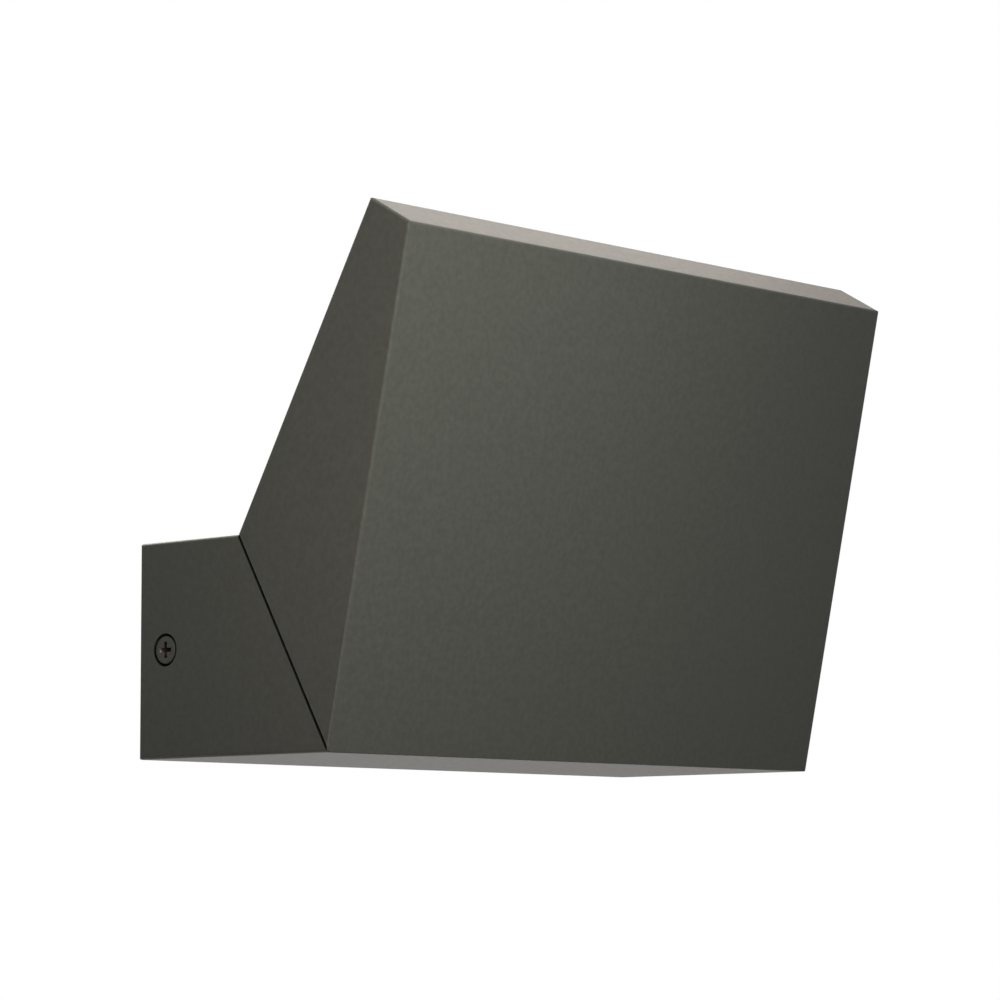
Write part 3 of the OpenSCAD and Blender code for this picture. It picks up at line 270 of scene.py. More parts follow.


# Side screws: M4 countersunk screws with a tall rim, coated with the castings, so that only a dark
# ring and the cross recess show. The ring's darkness is partly its own shade and partly the painted
# shade given to the casting's recess round it. They pull the box onto the bracket's ears. Bare,
# browned metal shows in the recess, where the driver's bit works.
def add_thread(bm, r, pitch, low, high):
    """Adds a ridge that winds about the Z axis from low to high, with its crest at radius r."""
    steps = 18
    foot = r - 0.75 * pitch
    section = ((foot, -0.46), (r, 0), (foot, 0.46))
    ridge = [bm.verts.new((x, 0, low + h * pitch)) for x, h in section]
    edges = [bm.edges.new((ridge[k], ridge[(k + 1) % 3])) for k in range(3)]
    bm.faces.new(ridge)
    turns = (high - low) / pitch
    wound = bmesh.ops.spin(bm, geom=ridge + edges, cent=(0, 0, 0), axis=(0, 0, 1),
                           dvec=(0, 0, pitch / steps), angle=2 * math.pi * turns,
                           steps=round(steps * turns))
    bm.faces.new([v for v in wound["geom_last"] if isinstance(v, bmesh.types.BMVert)])


def screw(place, head, shank_r, length, pitch, reach, slot):
    """Cross-recess screw about the place's Z axis. head lists (radius, height) from neck to top.
    From the middle, each arm of the cross is reach long, and slot wide to either side."""
    core_r = shank_r - 0.6 * pitch
    neck = head[0][1]
    bm = turned([(0, -length), (0.55 * core_r, -length), (core_r, -length + 0.5 * core_r),
                 (core_r, neck - 0.3 * mm), (shank_r, neck)] + head,
                Matrix.Identity(4), steps=36, closed=False)
    top = head[-1][1]
    rim = [e for e in bm.edges if e.is_boundary]
    arm = ((reach, -slot), (reach, slot), (slot, slot))
    outline = []
    for quarter in range(4):
        turn = Matrix.Rotation(math.radians(90 * quarter), 4, "Z")
        outline += [bm.verts.new(turn @ Vector((x, y, top))) for x, y in arm]
    cross = [bm.edges.new((outline[k], outline[(k + 1) % 12])) for k in range(12)]
    bmesh.ops.triangle_fill(bm, use_beauty=True, use_dissolve=False, edges=rim + cross)
    walls = bmesh.ops.extrude_edge_only(bm, edges=cross)["geom"]
    floor_verts = [g for g in walls if isinstance(g, bmesh.types.BMVert)]
    floor_edges = [g for g in walls if isinstance(g, bmesh.types.BMEdge)
                   and all(v in floor_verts for v in g.verts)]
    bmesh.ops.scale(bm, vec=(0.5, 0.5, 1), verts=floor_verts)
    bmesh.ops.translate(bm, vec=(0, 0, -1.3 * reach), verts=floor_verts)
    base = bmesh.ops.triangle_fill(bm, use_beauty=True, use_dissolve=False,
                                   edges=floor_edges)["geom"]
    for face in (g for g in walls + base if isinstance(g, bmesh.types.BMFace)):
        face.material_index = 1
    add_thread(bm, shank_r, pitch, -length + core_r, neck - 0.6 * mm)
    bmesh.ops.recalc_face_normals(bm, faces=bm.faces)
    bmesh.ops.transform(bm, matrix=place, verts=bm.verts)
    return bm


def joined(parts):
    """One bmesh from several."""
    whole = bmesh.new()
    for part in parts:
        mesh = bpy.data.meshes.new("part")
        part.to_mesh(mesh)
        part.free()
        whole.from_mesh(mesh)
        bpy.data.meshes.remove(mesh)
    return whole


def countersunk_head(r, shank_r, rim=0):
    """Outline of a 45 degree head from its neck up; a rim stands upright over the cone."""
    broken = 0.1 * mm
    if rim:
        return [(shank_r, shank_r - r - rim), (r, -rim), (r, -broken), (r - broken, 0)]
    return [(shank_r, shank_r - r), (r - broken, -broken), (r - 1.5 * broken, 0)]


def facing(side):
    """Turns the Z axis to point out of the light's side."""
    return Matrix.Rotation(math.radians(90 * side), 4, "Y")


recess_metal = finish("recess_metal", (0.15, 0.12, 0.11), roughness=0.34, metallic=0.9,
                      grain=0.3 * mm, relief=0.02 * mm, spread=0.3)
side_screw_top = Vector((0, side_screw_y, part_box("side_screws")[1].x))
m4_r = 2 * mm
side_head = countersunk_head(3.8 * mm, m4_r, rim=1.2 * mm)
piece("box_screws", joined([
    screw(facing(side) @ Matrix.Translation(side_screw_top), side_head, m4_r,
          length=10.5 * mm, pitch=0.7 * mm, reach=2.3 * mm, slot=0.6 * mm)
    for side in (-1, 1)
]), "wall_box", "screw_coat", [coat, recess_metal], "side_screws")

# Terminal block: three poles moulded in white nylon, standing on two bosses of the seam wall.
# Each pole holds a brass tube with two clamping screws, turned to the wall for the fitter.
nylon = finish("white_nylon", (0.80, 0.80, 0.77), roughness=0.42, metallic=0, grain=0.6 * mm,
               relief=0.008 * mm, spread=0.03)
brass = finish("brass", (0.76, 0.57, 0.27), roughness=0.3, metallic=1, grain=0.5 * mm,
               relief=0.004 * mm, spread=0.1)
terminal = merged("terminal_block")
soften(terminal, 0.15 * mm)
piece("terminal_body", terminal, "wall_box", "block_nylon", [nylon], "terminal_block")
clamps = merged("terminal_clamps")
soften(clamps, 0.1 * mm)
piece("clamp_tubes", clamps, "wall_box", "brass", [brass], "terminal_clamps")
grubs = merged("terminal_screws")
soften(grubs, 0.08 * mm)
piece("clamp_screws", grubs, "wall_box", "zinc_steel", [zinc], "terminal_screws")

# Block screws: two zinc-plated M2 pan head screws that go between the poles, through the block
# and into its two bosses.
seat_n = -7 * mm
block_x = 66 * mm
pole_pitch = 10 * mm
block_half_h = 7.5 * mm


def pan_head(r, height):
    """Outline of a pan head from its underside up."""
    return [(r, 0), (r, 0.55 * height), (0.94 * r, 0.8 * height), (0.7 * r, height)]


def into_seam(x, t, n):
    """Places a screw's own frame in the seam's frame with its head turned to the wall."""
    return at_seam @ Matrix.Translation((x, t, n)) @ Matrix.Rotation(math.pi, 4, "X")


piece("block_fixings", joined([
    screw(into_seam(-block_x + k * pole_pitch, 0, seat_n - block_half_h),
          pan_head(1.9 * mm, 1.4 * mm), shank_r=1 * mm, length=block_half_h + 4 * mm,
          pitch=0.4 * mm, reach=1 * mm, slot=0.2 * mm)
    for k in (-0.5, 0.5)
]), "wall_box", "zinc_steel", [zinc, zinc], "block_screws")

# Earth connection: a stainless cross-recess screw in a boss of the seam wall, a tinned ring tag
# under it, and the green and yellow lead crimped in the tag's barrel.
stainless = finish("stainless_steel", (0.60, 0.60, 0.59), roughness=0.27, metallic=1,
                   grain=0.5 * mm, relief=0.003 * mm, spread=0.06)
earth_x = 34 * mm
earth_seat_n = -8 * mm
tag_t = 0.8 * mm
earth_fixing = screw(into_seam(-earth_x, 0, earth_seat_n - tag_t), pan_head(3.6 * mm, 2.4 * mm),
                     shank_r=1.65 * mm, length=tag_t + 4.5 * mm, pitch=0.6 * mm,
                     reach=2 * mm, slot=0.38 * mm)
piece("earth_fixing", earth_fixing, "wall_box", "stainless", [stainless, stainless], "earth_screw")
tag = merged("earth_tag")
soften(tag, 0.1 * mm)
piece("earth_ring_tag", tag, "wall_box", "zinc_steel", [zinc], "earth_tag")


def swept(route, r, sides=12, parts=4):
    """Round lead on a smooth curve through the route's points. V of its UV map is the length
    along the lead, and U numbers the sides of each short stretch of it."""
    centres = []
    for i in range(len(route) - 1):
        a, b, c, d = (route[min(max(j, 0), len(route) - 1)] for j in range(i - 1, i + 3))
        for k in range(parts):
            f = k / parts
            centres.append(0.5 * (2 * b + (c - a) * f + (2 * a - 5 * b + 4 * c - d) * f ** 2
                                  + (3 * b - a - 3 * c + d) * f ** 3))
    centres.append(route[-1])
    last = len(centres) - 1
    ways = [centres[i + 1] - centres[i - 1] for i in range(1, last)]
    ways = [route[1] - route[0]] + ways + [route[-1] - route[-2]]
    bm = bmesh.new()
    around = bm.loops.layers.uv.new("along")
    ring = bmesh.ops.create_circle(bm, cap_ends=True, segments=sides, radius=r)["verts"]
    start = Matrix.Translation(centres[0]) @ ways[0].to_track_quat("Z", "Y").to_matrix().to_4x4()
    bmesh.ops.transform(bm, matrix=start, verts=ring)
    edges = list(bm.edges)
    length = 0
    for i in range(last):
        grown = bmesh.ops.extrude_edge_only(bm, edges=edges)["geom"]
        ring = [g for g in grown if isinstance(g, bmesh.types.BMVert)]
        turn = ways[i].rotation_difference(ways[i + 1]).to_matrix().to_4x4()
        step = Matrix.Translation(centres[i + 1]) @ turn @ Matrix.Translation(-centres[i])
        bmesh.ops.transform(bm, matrix=step, verts=ring)
        grown_length = length + (centres[i + 1] - centres[i]).length
        walls = [g for g in grown if isinstance(g, bmesh.types.BMFace)]
        for side, wall in enumerate(walls):
            for loop in wall.loops:
                new = loop.vert in ring
                other = [l.vert for l in wall.loops
                         if l.vert is not loop.vert and (l.vert in ring) == new][0]
                far = loop.link_loop_next.vert is other
                past = 1 if far == new else 0
                loop[around].uv = ((side + past) / sides, grown_length if new else length)
        edges = [g for g in grown
                 if isinstance(g, bmesh.types.BMEdge) and all(v in ring for v in g.verts)]
        length = grown_length
    bmesh.ops.contextual_create(bm, geom=edges)
    bmesh.ops.recalc_face_normals(bm, faces=bm.faces)
    return bm


def two_colour(material, other, share):
    """Gives a share of the sides of each stretch of a lead's insulation another colour."""
    tree = material.node_tree
    shader = tree.nodes["Principled BSDF"]
    along = tree.nodes.new("ShaderNodeUVMap")
    along.uv_map = "along"
    split = tree.nodes.new("ShaderNodeSeparateXYZ")
    chosen = tree.nodes.new("ShaderNodeMath")
    chosen.operation = "LESS_THAN"
    chosen.inputs[1].default_value = share
    mix = tree.nodes.new("ShaderNodeMix")
    mix.data_type = "RGBA"
    mix.inputs["B"].default_value = (*other, 1)
    tint = shader.inputs["Base Color"].links[0].from_socket
    tree.links.new(along.outputs["UV"], split.inputs["Vector"])
    tree.links.new(split.outputs["X"], chosen.inputs[0])
    tree.links.new(chosen.outputs["Value"], mix.inputs["Factor"])
    tree.links.new(tint, mix.inputs["A"])
    tree.links.new(mix.outputs["Result"], shader.inputs["Base Color"])


def in_seam(x, t, n):
    """Point of the seam's frame, given in millimetres."""
    return at_seam @ Vector((x * mm, t * mm, n * mm))


box_top_depth = 39 * mm
inside_half_h = 27 * mm


def in_box(x, depth, height):
    """Point in the box: x in millimetres, then shares of its top's depth and inner half height."""
    return Vector((x * mm, -depth * box_top_depth, height * inside_half_h))


lead_r = 1.1 * mm
rise = 5 * mm * up_seam
earth_green = finish("earth_insulation", (0.05, 0.30, 0.06), roughness=0.38, metallic=0,
                     grain=0.8 * mm, relief=0.006 * mm)
two_colour(earth_green, (0.80, 0.66, 0.03), share=0.45)
earth_start = in_seam(-56, 9, -16)
earth_end = in_seam(-34, 11, -9.7)
earth_route = [
    earth_start, earth_start + rise, in_box(-53, 0.77, 0.41), in_box(-45, 0.74, 0.56),
    in_box(-37, 0.85, 0.56), earth_end + 0.8 * rise, earth_end
]
earth_wire = swept(earth_route, lead_r)
piece("earth_wire", earth_wire, "wall_box", "earth_pvc", [earth_green], "earth_lead")

# Driver: a constant-current supply potted in a white moulded case, screwed by its two lugs to
# pads of the seam wall. It is fed by the mains leads and feeds the low-voltage lead.
case_white = finish("driver_case", (0.74, 0.74, 0.72), roughness=0.5, metallic=0,
                    grain=0.4 * mm, relief=0.014 * mm, spread=0.03)
driver = merged("led_driver")
soften(driver, 0.5 * mm, segments=3)
piece("driver_case", driver, "wall_box", "driver_case", [case_white], "led_driver")
lug_t = 3 * mm
lug_places = ((23 * mm, -6 * mm), (89 * mm, 12 * mm))
m3_r = 1.25 * mm
m3_head_r = 2.75 * mm
m3_pitch = 0.5 * mm
piece("driver_fixings", joined([
    screw(into_seam(x, t, seat_n - lug_t), pan_head(m3_head_r, 2 * mm), m3_r,
          length=lug_t + 4.5 * mm, pitch=m3_pitch, reach=1.4 * mm, slot=0.28 * mm)
    for x, t in lug_places
]), "wall_box", "zinc_steel", [zinc, zinc], "driver_screws")

# Mains leads: brown line and blue neutral, PVC-insulated, from the terminal block over the swivel
# to the far end of the driver.
pvc_brown = finish("brown_insulation", (0.14, 0.055, 0.025), roughness=0.36, metallic=0,
                   grain=0.8 * mm, relief=0.006 * mm)
pvc_blue = finish("blue_insulation", (0.035, 0.12, 0.36), roughness=0.36, metallic=0,
                  grain=0.8 * mm, relief=0.006 * mm)
out_of_case = Vector((5 * mm, 0, 0))
line_start = in_seam(-76, 9, -16)
line_end = in_seam(86, 7, -18)
line_route = [
    line_start, line_start + rise, in_box(-72, 0.79, 0.48), in_box(-62, 0.62, 0.7),
    in_box(-40.17, 0.49, 0.81), in_box(0, 0.44, 0.81), in_box(40.17, 0.44, 0.78),
    in_box(74, 0.46, 0.67), in_box(88, 0.59, 0.44), in_box(93, 0.79, 0.19),
    line_end + out_of_case, line_end
]
neutral_start = in_seam(-66, 9, -16)
neutral_end = in_seam(86, -1, -18)
neutral_route = [
    neutral_start, neutral_start + rise, in_box(-63, 0.77, 0.44), in_box(-54, 0.56, 0.59),
    in_box(-36.05, 0.41, 0.67), in_box(0, 0.33, 0.67), in_box(40.17, 0.33, 0.59),
    in_box(72, 0.33, 0.52), in_box(87, 0.46, 0.19), in_box(92, 0.74, -0.19),
    neutral_end + out_of_case, neutral_end
]
line_wire = swept(line_route, lead_r)
neutral_wire = swept(neutral_route, lead_r)
piece("line_wire", line_wire, "wall_box", "mains_pvc", [pvc_brown], "mains_leads")
piece("neutral_wire", neutral_wire, "wall_box", "mains_pvc", [pvc_blue], "mains_leads")

# Low-voltage lead, box side: a white sheathed lead from the driver into the hollow spigot. It
# meets its other half in the seam, where it twists when the head turns.
sheath = finish("white_sheath", (0.70, 0.70, 0.68), roughness=0.42, metallic=0,
                grain=0.8 * mm, relief=0.008 * mm, spread=0.03)
sheath_r = 1.6 * mm
driver_near = in_seam(26, 3, -18)
halves_meet = at_seam @ Vector((0, 0, seam_gap / 2))
box_led_route = [
    driver_near, driver_near - out_of_case, in_box(14, 0.82, -0.41), in_box(6, 0.62, -0.63),
    in_seam(0, 0, -32), in_seam(0, 0, -24), in_seam(0, 0, -12), halves_meet
]
led_wire = swept(box_led_route, sheath_r)
piece("led_wire_box", led_wire, "wall_box", "led_pvc", [sheath], "box_led_lead")

# Swivel, box side: an acetal glide ring and a silicone O-ring lie in grooves of the seam face,
# and an acetal washer takes the rubbing of the spring inside.
acetal = finish("natural_acetal", (0.72, 0.71, 0.66), roughness=0.34, metallic=0,
                grain=0.7 * mm, relief=0.005 * mm, spread=0.03)
for node, name in (("glide_ring", "glide_bearing"), ("friction_washer", "rubbing_washer")):
    washer = merged(node)
    soften(washer, 0.15 * mm)
    piece(name, washer, "wall_box", "glide_nylon", [acetal], node)
ring_r = 12.2 * mm
ring_n = -0.725 * mm
ring_cord_r = 1.6 * mm
ring_pressed = 1.17 * mm
ring_sides = 20
ring_profile = []
for k in range(ring_sides):
    turn = 2 * math.pi * k / ring_sides
    height = max(min(ring_cord_r * math.sin(turn), ring_pressed), -ring_pressed)
    ring_profile.append((ring_r + ring_cord_r * math.cos(turn), ring_n + height))
o_ring = turned(ring_profile, at_seam)
piece("o_ring", o_ring, "wall_box", "seal_rubber", [rubber], "swivel_o_ring")

# Swivel, head side: a turned stainless spigot whose flange is keyed between two ribs of the head,
# a flat seal under the flange, a spring disc and a nut that clamp it in the box, and the pin that
# runs in a groove of the box and stops the turn at both ends.
spigot = merged("swivel_spigot")
soften(spigot, 0.15 * mm)
piece("spigot", spigot, "head", "stainless", [stainless], "swivel_spigot")
flange_seal = merged("flange_gasket")
soften(flange_seal, 0.15 * mm)
piece("flange_seal", flange_seal, "head", "seal_rubber", [rubber], "flange_gasket")
for node, name, width in (("disc_spring", "spring_disc", 0.1 * mm),
                          ("swivel_nut", "clamp_nut", 0.2 * mm),
                          ("stop_pin", "pin_of_the_stop", 0.3 * mm)):
    part = merged(node)
    soften(part, width)
    piece(name, part, "head", "stainless", [stainless], node)

# Head: the second die casting, a wedge open at the light outlet. Ribs carry the board's seat and
# take the heat to the front wall. It has the same coat as the box.
outlet_foot = Vector((0, -39 * mm, 30 * mm))
at_outlet = Matrix.Translation(outlet_foot) @ Matrix.Rotation(math.radians(120), 4, "X")
from_outlet = at_outlet.inverted()
rim_v = 0.05 * mm
head = merged("head_shell")
soften(head, 0.25 * mm, chosen=lambda e: all((from_outlet @ v.co).z < rim_v for v in e.verts))
# The head's seam face and its edges get the same painted shade as the box's.
paint_seam_shade(head, seam_gap - slack, seam_gap + seam_edge)
# The front wall's foot reaches down over the gap as a crisp edge, so that no line shows under it.
# Cuts across the head's lower end and near its sides keep the change to the foot itself.
foot_cut = at_seam @ Vector((0, -33 * mm, 0))
side_cut = Vector((102 * mm, 0, 0))
across = Vector((1, 0, 0))
for spot, way in ((foot_cut, up_seam), (-side_cut, across), (side_cut, across)):
    bmesh.ops.bisect_plane(head, geom=head.verts[:] + head.edges[:] + head.faces[:],
                           dist=0.001 * mm, plane_co=spot, plane_no=way)
front = max((f for f in head.faces if f.normal.y < -0.5), key=lambda f: f.calc_area())
front_way = from_seam.to_3x3() @ front.normal
front_spot = from_seam @ front.verts[0].co
foot_t = -33.3 * mm
foot_n = 0.95 * mm
foot_drop = 0.41 * mm
corner_r = 0.9 * mm
corner_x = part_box("head_shell")[1].x - corner_r
foot = [v for v in head.verts
        if (from_seam @ v.co).y < foot_t and (from_seam @ v.co).z < foot_n]
for vert in foot:
    spot = from_seam @ vert.co
    spot.z -= foot_drop
    past = max(abs(spot.x) - corner_x, 0)
    rounded_off = corner_r - math.sqrt(corner_r ** 2 - past ** 2)
    spot.y -= (front_way.dot(spot - front_spot) + rounded_off) / front_way.y
    vert.co = at_seam @ spot
bmesh.ops.remove_doubles(head, verts=foot, dist=0.02 * mm)
piece("head_casting", head, "head", "cast_coat", [coat, black], "head_shell")


# Low-voltage lead, head side: the same white sheathed lead, from the spigot round the board's
# seat to the board's connector.
def in_outlet(x, u, v):
    """Point of the outlet's frame, given in millimetres: u from the seam to the nose, v inwards."""
    return at_outlet @ Vector((x * mm, u * mm, v * mm))


connector_x = -78
connector_u = 43.5
connector_v = 20.35
head_led_route = [
    halves_meet, in_seam(0, 0, 8), in_seam(0, 0, 14), in_outlet(-8, 1, 37),
    in_outlet(-24, 6, 33), in_outlet(-48, 13, 28), in_outlet(-68, 21, 23),
    in_outlet(connector_x, connector_u - 14, connector_v),
    in_outlet(connector_x, connector_u - 6, connector_v),
    in_outlet(connector_x, connector_u, connector_v)
]
led_wire = swept(head_led_route, sheath_r)
piece("led_wire_head", led_wire, "head", "led_pvc", [sheath], "head_led_lead")

# Light engine: an aluminium-core board under white solder mask, on a soft grey-blue heat pad.
# Copper tracks under the mask join two rows of nine chips.
pad_grey = finish("heat_pad", (0.26, 0.31, 0.38), roughness=0.7, metallic=0, grain=0.5 * mm,
                  relief=0.01 * mm)
piece("heat_pad", merged("thermal_pad"), "head", "thermal_rubber", [pad_grey], "thermal_pad")
mask_white = finish("solder_mask", (0.80, 0.80, 0.78), roughness=0.3, metallic=0,
                    grain=0.6 * mm, relief=0.003 * mm, spread=0.02)
board_middle_u = 48 * mm
board_v = 22.1 * mm
board = merged("led_board")
soften(board, 0.1 * mm)
piece("board_core", board, "head", "board_white", [mask_white], "led_board")


def block(bm, place, x, u, v, half_x, half_u, half_v):
    """Adds a rectangular block about (x, u, v) in the place's frame."""
    size = Matrix.Diagonal((2 * half_x, 2 * half_u, 2 * half_v, 1))
    bmesh.ops.create_cube(bm, size=1, matrix=place @ Matrix.Translation((x, u, v)) @ size)


chip_count = 9
chip_pitch = 16 * mm
chip_row = 5.5 * mm
chip_xs = [(k - (chip_count - 1) / 2) * chip_pitch for k in range(chip_count)]
copper_half = 0.018 * mm
track_v = board_v - copper_half
track_half_u = 1.1 * mm
tracks = bmesh.new()
for row in (-chip_row, chip_row):
    for a, b in zip(chip_xs, chip_xs[1:]):
        block(tracks, at_outlet, (a + b) / 2, board_middle_u + row, track_v,
              chip_pitch / 2 - 1.9 * mm, track_half_u, copper_half)
    for end in (chip_xs[0] - 3.6 * mm, chip_xs[-1] + 3.6 * mm):
        block(tracks, at_outlet, end, board_middle_u + row, track_v,
              1.7 * mm, track_half_u, copper_half)
block(tracks, at_outlet, chip_xs[-1] + 4.5 * mm, board_middle_u, track_v,
      0.8 * mm, chip_row - 1.2 * mm, copper_half)
mask_over_copper = finish("mask_over_copper", (0.74, 0.74, 0.71), roughness=0.3, metallic=0,
                          grain=0.6 * mm, relief=0.003 * mm, spread=0.02)
piece("board_tracks", tracks, "head", "board_white", [mask_over_copper])

# Chips: white moulded packages, soldered to the board between the ends of the tracks. Each has a
# round well, filled with yellow phosphor.
package_white = finish("chip_package", (0.82, 0.82, 0.80), roughness=0.35, metallic=0,
                       grain=0.2 * mm, relief=0.002 * mm, spread=0.02)
phosphor = finish("phosphor", (0.86, 0.62, 0.10), roughness=0.3, metallic=0, grain=0.15 * mm,
                  relief=0.004 * mm, spread=0.04)
chip_half = 1.5 * mm
chip_t = 0.7 * mm
well_r = 1.2 * mm
well_depth = 0.14 * mm


def led_chip(x, u):
    """One chip on the board, with its well open to the light outlet."""
    bm = bmesh.new()
    block(bm, Matrix.Identity(4), 0, 0, -chip_t / 2, chip_half, chip_half, chip_t / 2)
    upright = [e for e in bm.edges if abs(e.verts[0].co.z - e.verts[1].co.z) > chip_t / 2]
    bmesh.ops.bevel(bm, geom=upright, offset=0.25 * mm, segments=2, profile=0.5,
                    affect="EDGES", material=-1)
    top = min(bm.faces, key=lambda f: f.calc_center_median().z)
    outline = list(top.edges)
    bmesh.ops.delete(bm, geom=[top], context="FACES_ONLY")
    well = bmesh.ops.create_circle(bm, cap_ends=False, segments=24, radius=well_r,
                                   matrix=Matrix.Translation((0, 0, -chip_t)))["verts"]
    mouth = list({e for v in well for e in v.link_edges})
    bmesh.ops.triangle_fill(bm, use_beauty=True, use_dissolve=False, edges=outline + mouth)
    wall = bmesh.ops.extrude_edge_only(bm, edges=mouth)["geom"]
    base = [g for g in wall if isinstance(g, bmesh.types.BMVert)]
    bmesh.ops.scale(bm, vec=(0.88, 0.88, 1), verts=base)
    bmesh.ops.translate(bm, vec=(0, 0, well_depth), verts=base)
    base_edges = [g for g in wall
                  if isinstance(g, bmesh.types.BMEdge) and all(v in base for v in g.verts)]
    for face in bmesh.ops.contextual_create(bm, geom=base_edges)["faces"]:
        face.material_index = 1
    bmesh.ops.recalc_face_normals(bm, faces=bm.faces)
    on_board = at_outlet @ Matrix.Translation((x, u, board_v))
    bmesh.ops.transform(bm, matrix=on_board, verts=bm.verts)
    return bm


piece("led_packages", joined([
    led_chip(x, board_middle_u + row) for x in chip_xs for row in (-chip_row, chip_row)
]), "head", "chip_phosphor", [package_white, phosphor], "led_chips")

# Connector: a low white nylon housing that holds the lead's two ends, soldered to the end of
# the board.
connector = bmesh.new()
connector_half_v = 1.5 * mm
block(connector, at_outlet, connector_x * mm, board_middle_u, board_v - connector_half_v,
      3 * mm, 4.5 * mm, connector_half_v)
bmesh.ops.bevel(connector, geom=connector.edges[:], offset=0.2 * mm, segments=2, profile=0.5,
                affect="EDGES", material=-1)
piece("connector_housing", connector, "head", "connector_white", [nylon], "board_connector")

# Board screws: four stainless M3 pan head screws that press the board and its pad to the seat
# and go into the head's bosses.
board_screw_xs = (-63 * mm, -27 * mm, 27 * mm, 63 * mm)


def into_head(x, u, v):
    """Places a screw's own frame in the outlet's frame with its head turned to the light outlet."""
    return at_outlet @ Matrix.Translation((x, u, v)) @ Matrix.Rotation(math.pi, 4, "X")


piece("board_fixings", joined([
    screw(into_head(x, board_middle_u, board_v), pan_head(m3_head_r, 2 * mm), m3_r,
          length=7 * mm, pitch=m3_pitch, reach=1.4 * mm, slot=0.28 * mm)
    for x in board_screw_xs
]), "head", "stainless", [stainless, stainless], "board_screws")

# Reflector: folded aluminium sheet under matt white paint. Its flange lies between the ledge and
# the glass gasket, and its mouth stands round the chips.
paint_white = finish("reflector_paint", (0.82, 0.82, 0.80), roughness=0.5, metallic=0,
                     grain=0.4 * mm, relief=0.006 * mm, spread=0.02)
tray = merged("reflector")
soften(tray, 0.15 * mm)
piece("reflector_tray", tray, "head", "reflector_white", [paint_white], "reflector")

# Outlet cover: a flat silicone seal, then 4 mm toughened glass, arrissed all round and satin
# etched on its inner face, so that the chips show only as a soft glow.
glass_seal = merged("glass_gasket")
soften(glass_seal, 0.15 * mm)
piece("glass_seal", glass_seal, "head", "seal_rubber", [rubber], "glass_gasket")


def glass(name, roughness):
    """Clear glass with a faint green, as smooth as its roughness says."""
    material = bpy.data.materials.new(name)
    material.use_nodes = True
    shader = material.node_tree.nodes["Principled BSDF"]
    shader.inputs["Base Color"].default_value = (0.93, 0.97, 0.955, 1)
    shader.inputs["Transmission Weight"].default_value = 1
    shader.inputs["IOR"].default_value = 1.5
    shader.inputs["Roughness"].default_value = roughness
    return material


polished = glass("polished_glass", 0.03)
etched = glass("etched_glass", 0.45)
pane = merged("diffuser_glass")
pane_inner_v = max((from_outlet @ v.co).z for v in pane.verts)
soften(pane, 0.4 * mm)
for face in pane.faces:
    if (from_outlet @ face.calc_center_median()).z > pane_inner_v - 0.01 * mm:
        face.material_index = 1
piece("glass_pane", pane, "head", "frosted_glass", [polished, etched], "diffuser_glass")

# Frame: 1.8 mm aluminium sheet with countersunk holes, coated like the castings. It lies in the
# rebate of the head and holds the glass down.
outlet_frame = merged("glass_frame")
soften(outlet_frame, 0.2 * mm)
piece("outlet_frame", outlet_frame, "head", "frame_coat", [coat], "glass_frame")
frame_screw_xs = (-96 * mm, 96 * mm)
frame_screw_us = (14 * mm, 51.25 * mm, 88.5 * mm)
frame_screw_v = 0.25 * mm
frame_head = countersunk_head(m3_head_r - 0.1 * mm, m3_r)
piece("frame_fixings", joined([
    screw(into_head(x, u, frame_screw_v), frame_head, m3_r,
          length=7 * mm, pitch=m3_pitch, reach=1.4 * mm, slot=0.27 * mm)
    for x in frame_screw_xs for u in frame_screw_us
]), "head", "stainless", [stainless, stainless], "frame_screws")


# Studio: a plain pale floor under the light and large soft lamps. World and floor are white where
# the camera, a gloss or the glass sees them, and plainly lit where they only light the light.
def seen_rays(tree):
    """1 for a ray of the camera, of a gloss or through glass, and 0 for a ray that only lights."""
    path = tree.nodes.new("ShaderNodeLightPath")
    total = path.outputs["Is Camera Ray"]
    for kind in ("Is Glossy Ray", "Is Transmission Ray"):
        add = tree.nodes.new("ShaderNodeMath")
        add.operation = "ADD"
        add.use_clamp = True
        tree.links.new(total, add.inputs[0])
        tree.links.new(path.outputs[kind], add.inputs[1])
        total = add.outputs["Value"]
    return total


floor_z = -0.42
floor_r = 6
disc = bmesh.new()
bmesh.ops.create_circle(disc, cap_ends=True, segments=96, radius=floor_r)
bmesh.ops.translate(disc, vec=(0, 0, floor_z), verts=disc.verts)
floor_mesh = bpy.data.meshes.new("floor")
disc.to_mesh(floor_mesh)
disc.free()
floor = bpy.data.objects.new("floor", floor_mesh)
bpy.context.scene.collection.objects.link(floor)
paper = finish("floor_paper", (0.80, 0.80, 0.80), roughness=0.8, metallic=0, grain=4 * mm,
               relief=0.01 * mm, spread=0.01, rough_spread=0.02)
floor_mesh.materials.append(paper)
tree = paper.node_tree
shader = tree.nodes["Principled BSDF"]
shader.inputs["Specular IOR Level"].default_value = 0
shader.inputs["Emission Color"].default_value = (1, 1, 1, 1)
# The floor is seen a little greyer near the light and whitens from 0.6 m to 2.4 m away from it.
where = tree.nodes.new("ShaderNodeTexCoord")
distance = tree.nodes.new("ShaderNodeVectorMath")
distance.operation = "LENGTH"
whiteness = tree.nodes.new("ShaderNodeMapRange")
whiteness.inputs["From Min"].default_value = 0.6
whiteness.inputs["From Max"].default_value = 2.4
whiteness.inputs["To Min"].default_value = 0.5
whiteness.inputs["To Max"].default_value = 0.9
glow = tree.nodes.new("ShaderNodeMath")
glow.operation = "MULTIPLY"
tree.links.new(where.outputs["Object"], distance.inputs[0])
tree.links.new(distance.outputs["Value"], whiteness.inputs["Value"])
tree.links.new(whiteness.outputs["Result"], glow.inputs[0])
tree.links.new(seen_rays(tree), glow.inputs[1])
tree.links.new(glow.outputs["Value"], shader.inputs["Emission Strength"])

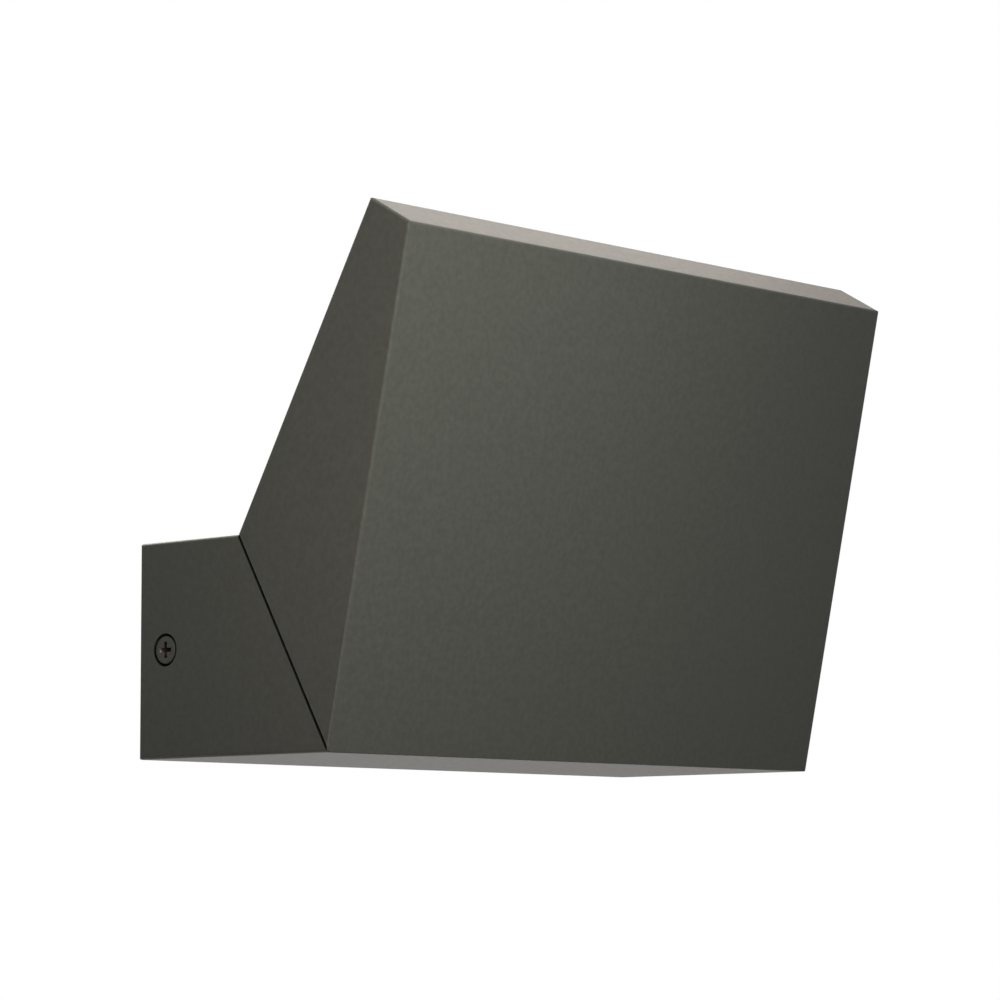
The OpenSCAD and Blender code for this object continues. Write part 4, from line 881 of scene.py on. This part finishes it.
bpy.context.scene.view_settings.view_transform = "Standard"
world = bpy.data.worlds.new("studio")
bpy.context.scene.world = world
world.use_nodes = True
sky = world.node_tree
ambient = sky.nodes["Background"]
ambient.inputs["Color"].default_value = (1, 1, 1, 1)
ambient.inputs["Strength"].default_value = 0.03
white = sky.nodes.new("ShaderNodeBackground")
white.inputs["Color"].default_value = (1, 1, 1, 1)
choose = sky.nodes.new("ShaderNodeMixShader")
sky.links.new(seen_rays(sky), choose.inputs["Fac"])
sky.links.new(ambient.outputs["Background"], choose.inputs[1])
sky.links.new(white.outputs["Background"], choose.inputs[2])
sky.links.new(choose.outputs["Shader"], sky.nodes["World Output"].inputs["Surface"])


def soft_lamp(name, place, aim, size, power, colour, spread=180):
    """Round soft box; a spread under 180 degrees is a grid in front of it."""
    lamp_data = bpy.data.lights.new(name, "AREA")
    lamp_data.shape = "DISK"
    lamp_data.size = size
    lamp_data.energy = power
    lamp_data.color = colour
    lamp_data.spread = math.radians(spread)
    lamp = bpy.data.objects.new(name, lamp_data)
    way = (Vector(aim) - Vector(place)).normalized()
    turn = way.to_track_quat("-Z", "Y").to_matrix().to_4x4()
    lamp.matrix_world = Matrix.Translation(place) @ turn
    bpy.context.scene.collection.objects.link(lamp)


soft_lamp("key_high", (-0.20, -0.60, 0.45), aim=(-0.12, -0.10, 0.16), size=0.25, power=0.85,
          colour=(0.94, 1.0, 0.96), spread=50)
soft_lamp("key_left", (-0.35, -0.60, 0.35), aim=(-0.24, -0.10, 0.16), size=0.25, power=0.42,
          colour=(1.0, 0.96, 1.0), spread=60)
soft_lamp("side", (-0.60, -0.16, -0.12), aim=(-0.10, -0.18, 0.06), size=0.15, power=0.16,
          colour=(1.0, 0.96, 0.88), spread=42)
light_middle = (0, -0.08, 0.03)
soft_lamp("rim", (0.9, 0.6, 0.8), aim=light_middle, size=0.7, power=1.42,
          colour=(1.0, 0.76, 0.62))
soft_lamp("rim_near", (0.4, 0.3, 0.45), aim=light_middle, size=0.4, power=0.32,
          colour=(1.0, 0.98, 0.95))
soft_lamp("back", (0.2, 1.2, 0.9), aim=light_middle, size=0.7, power=12,
          colour=(1.0, 0.88, 0.76))
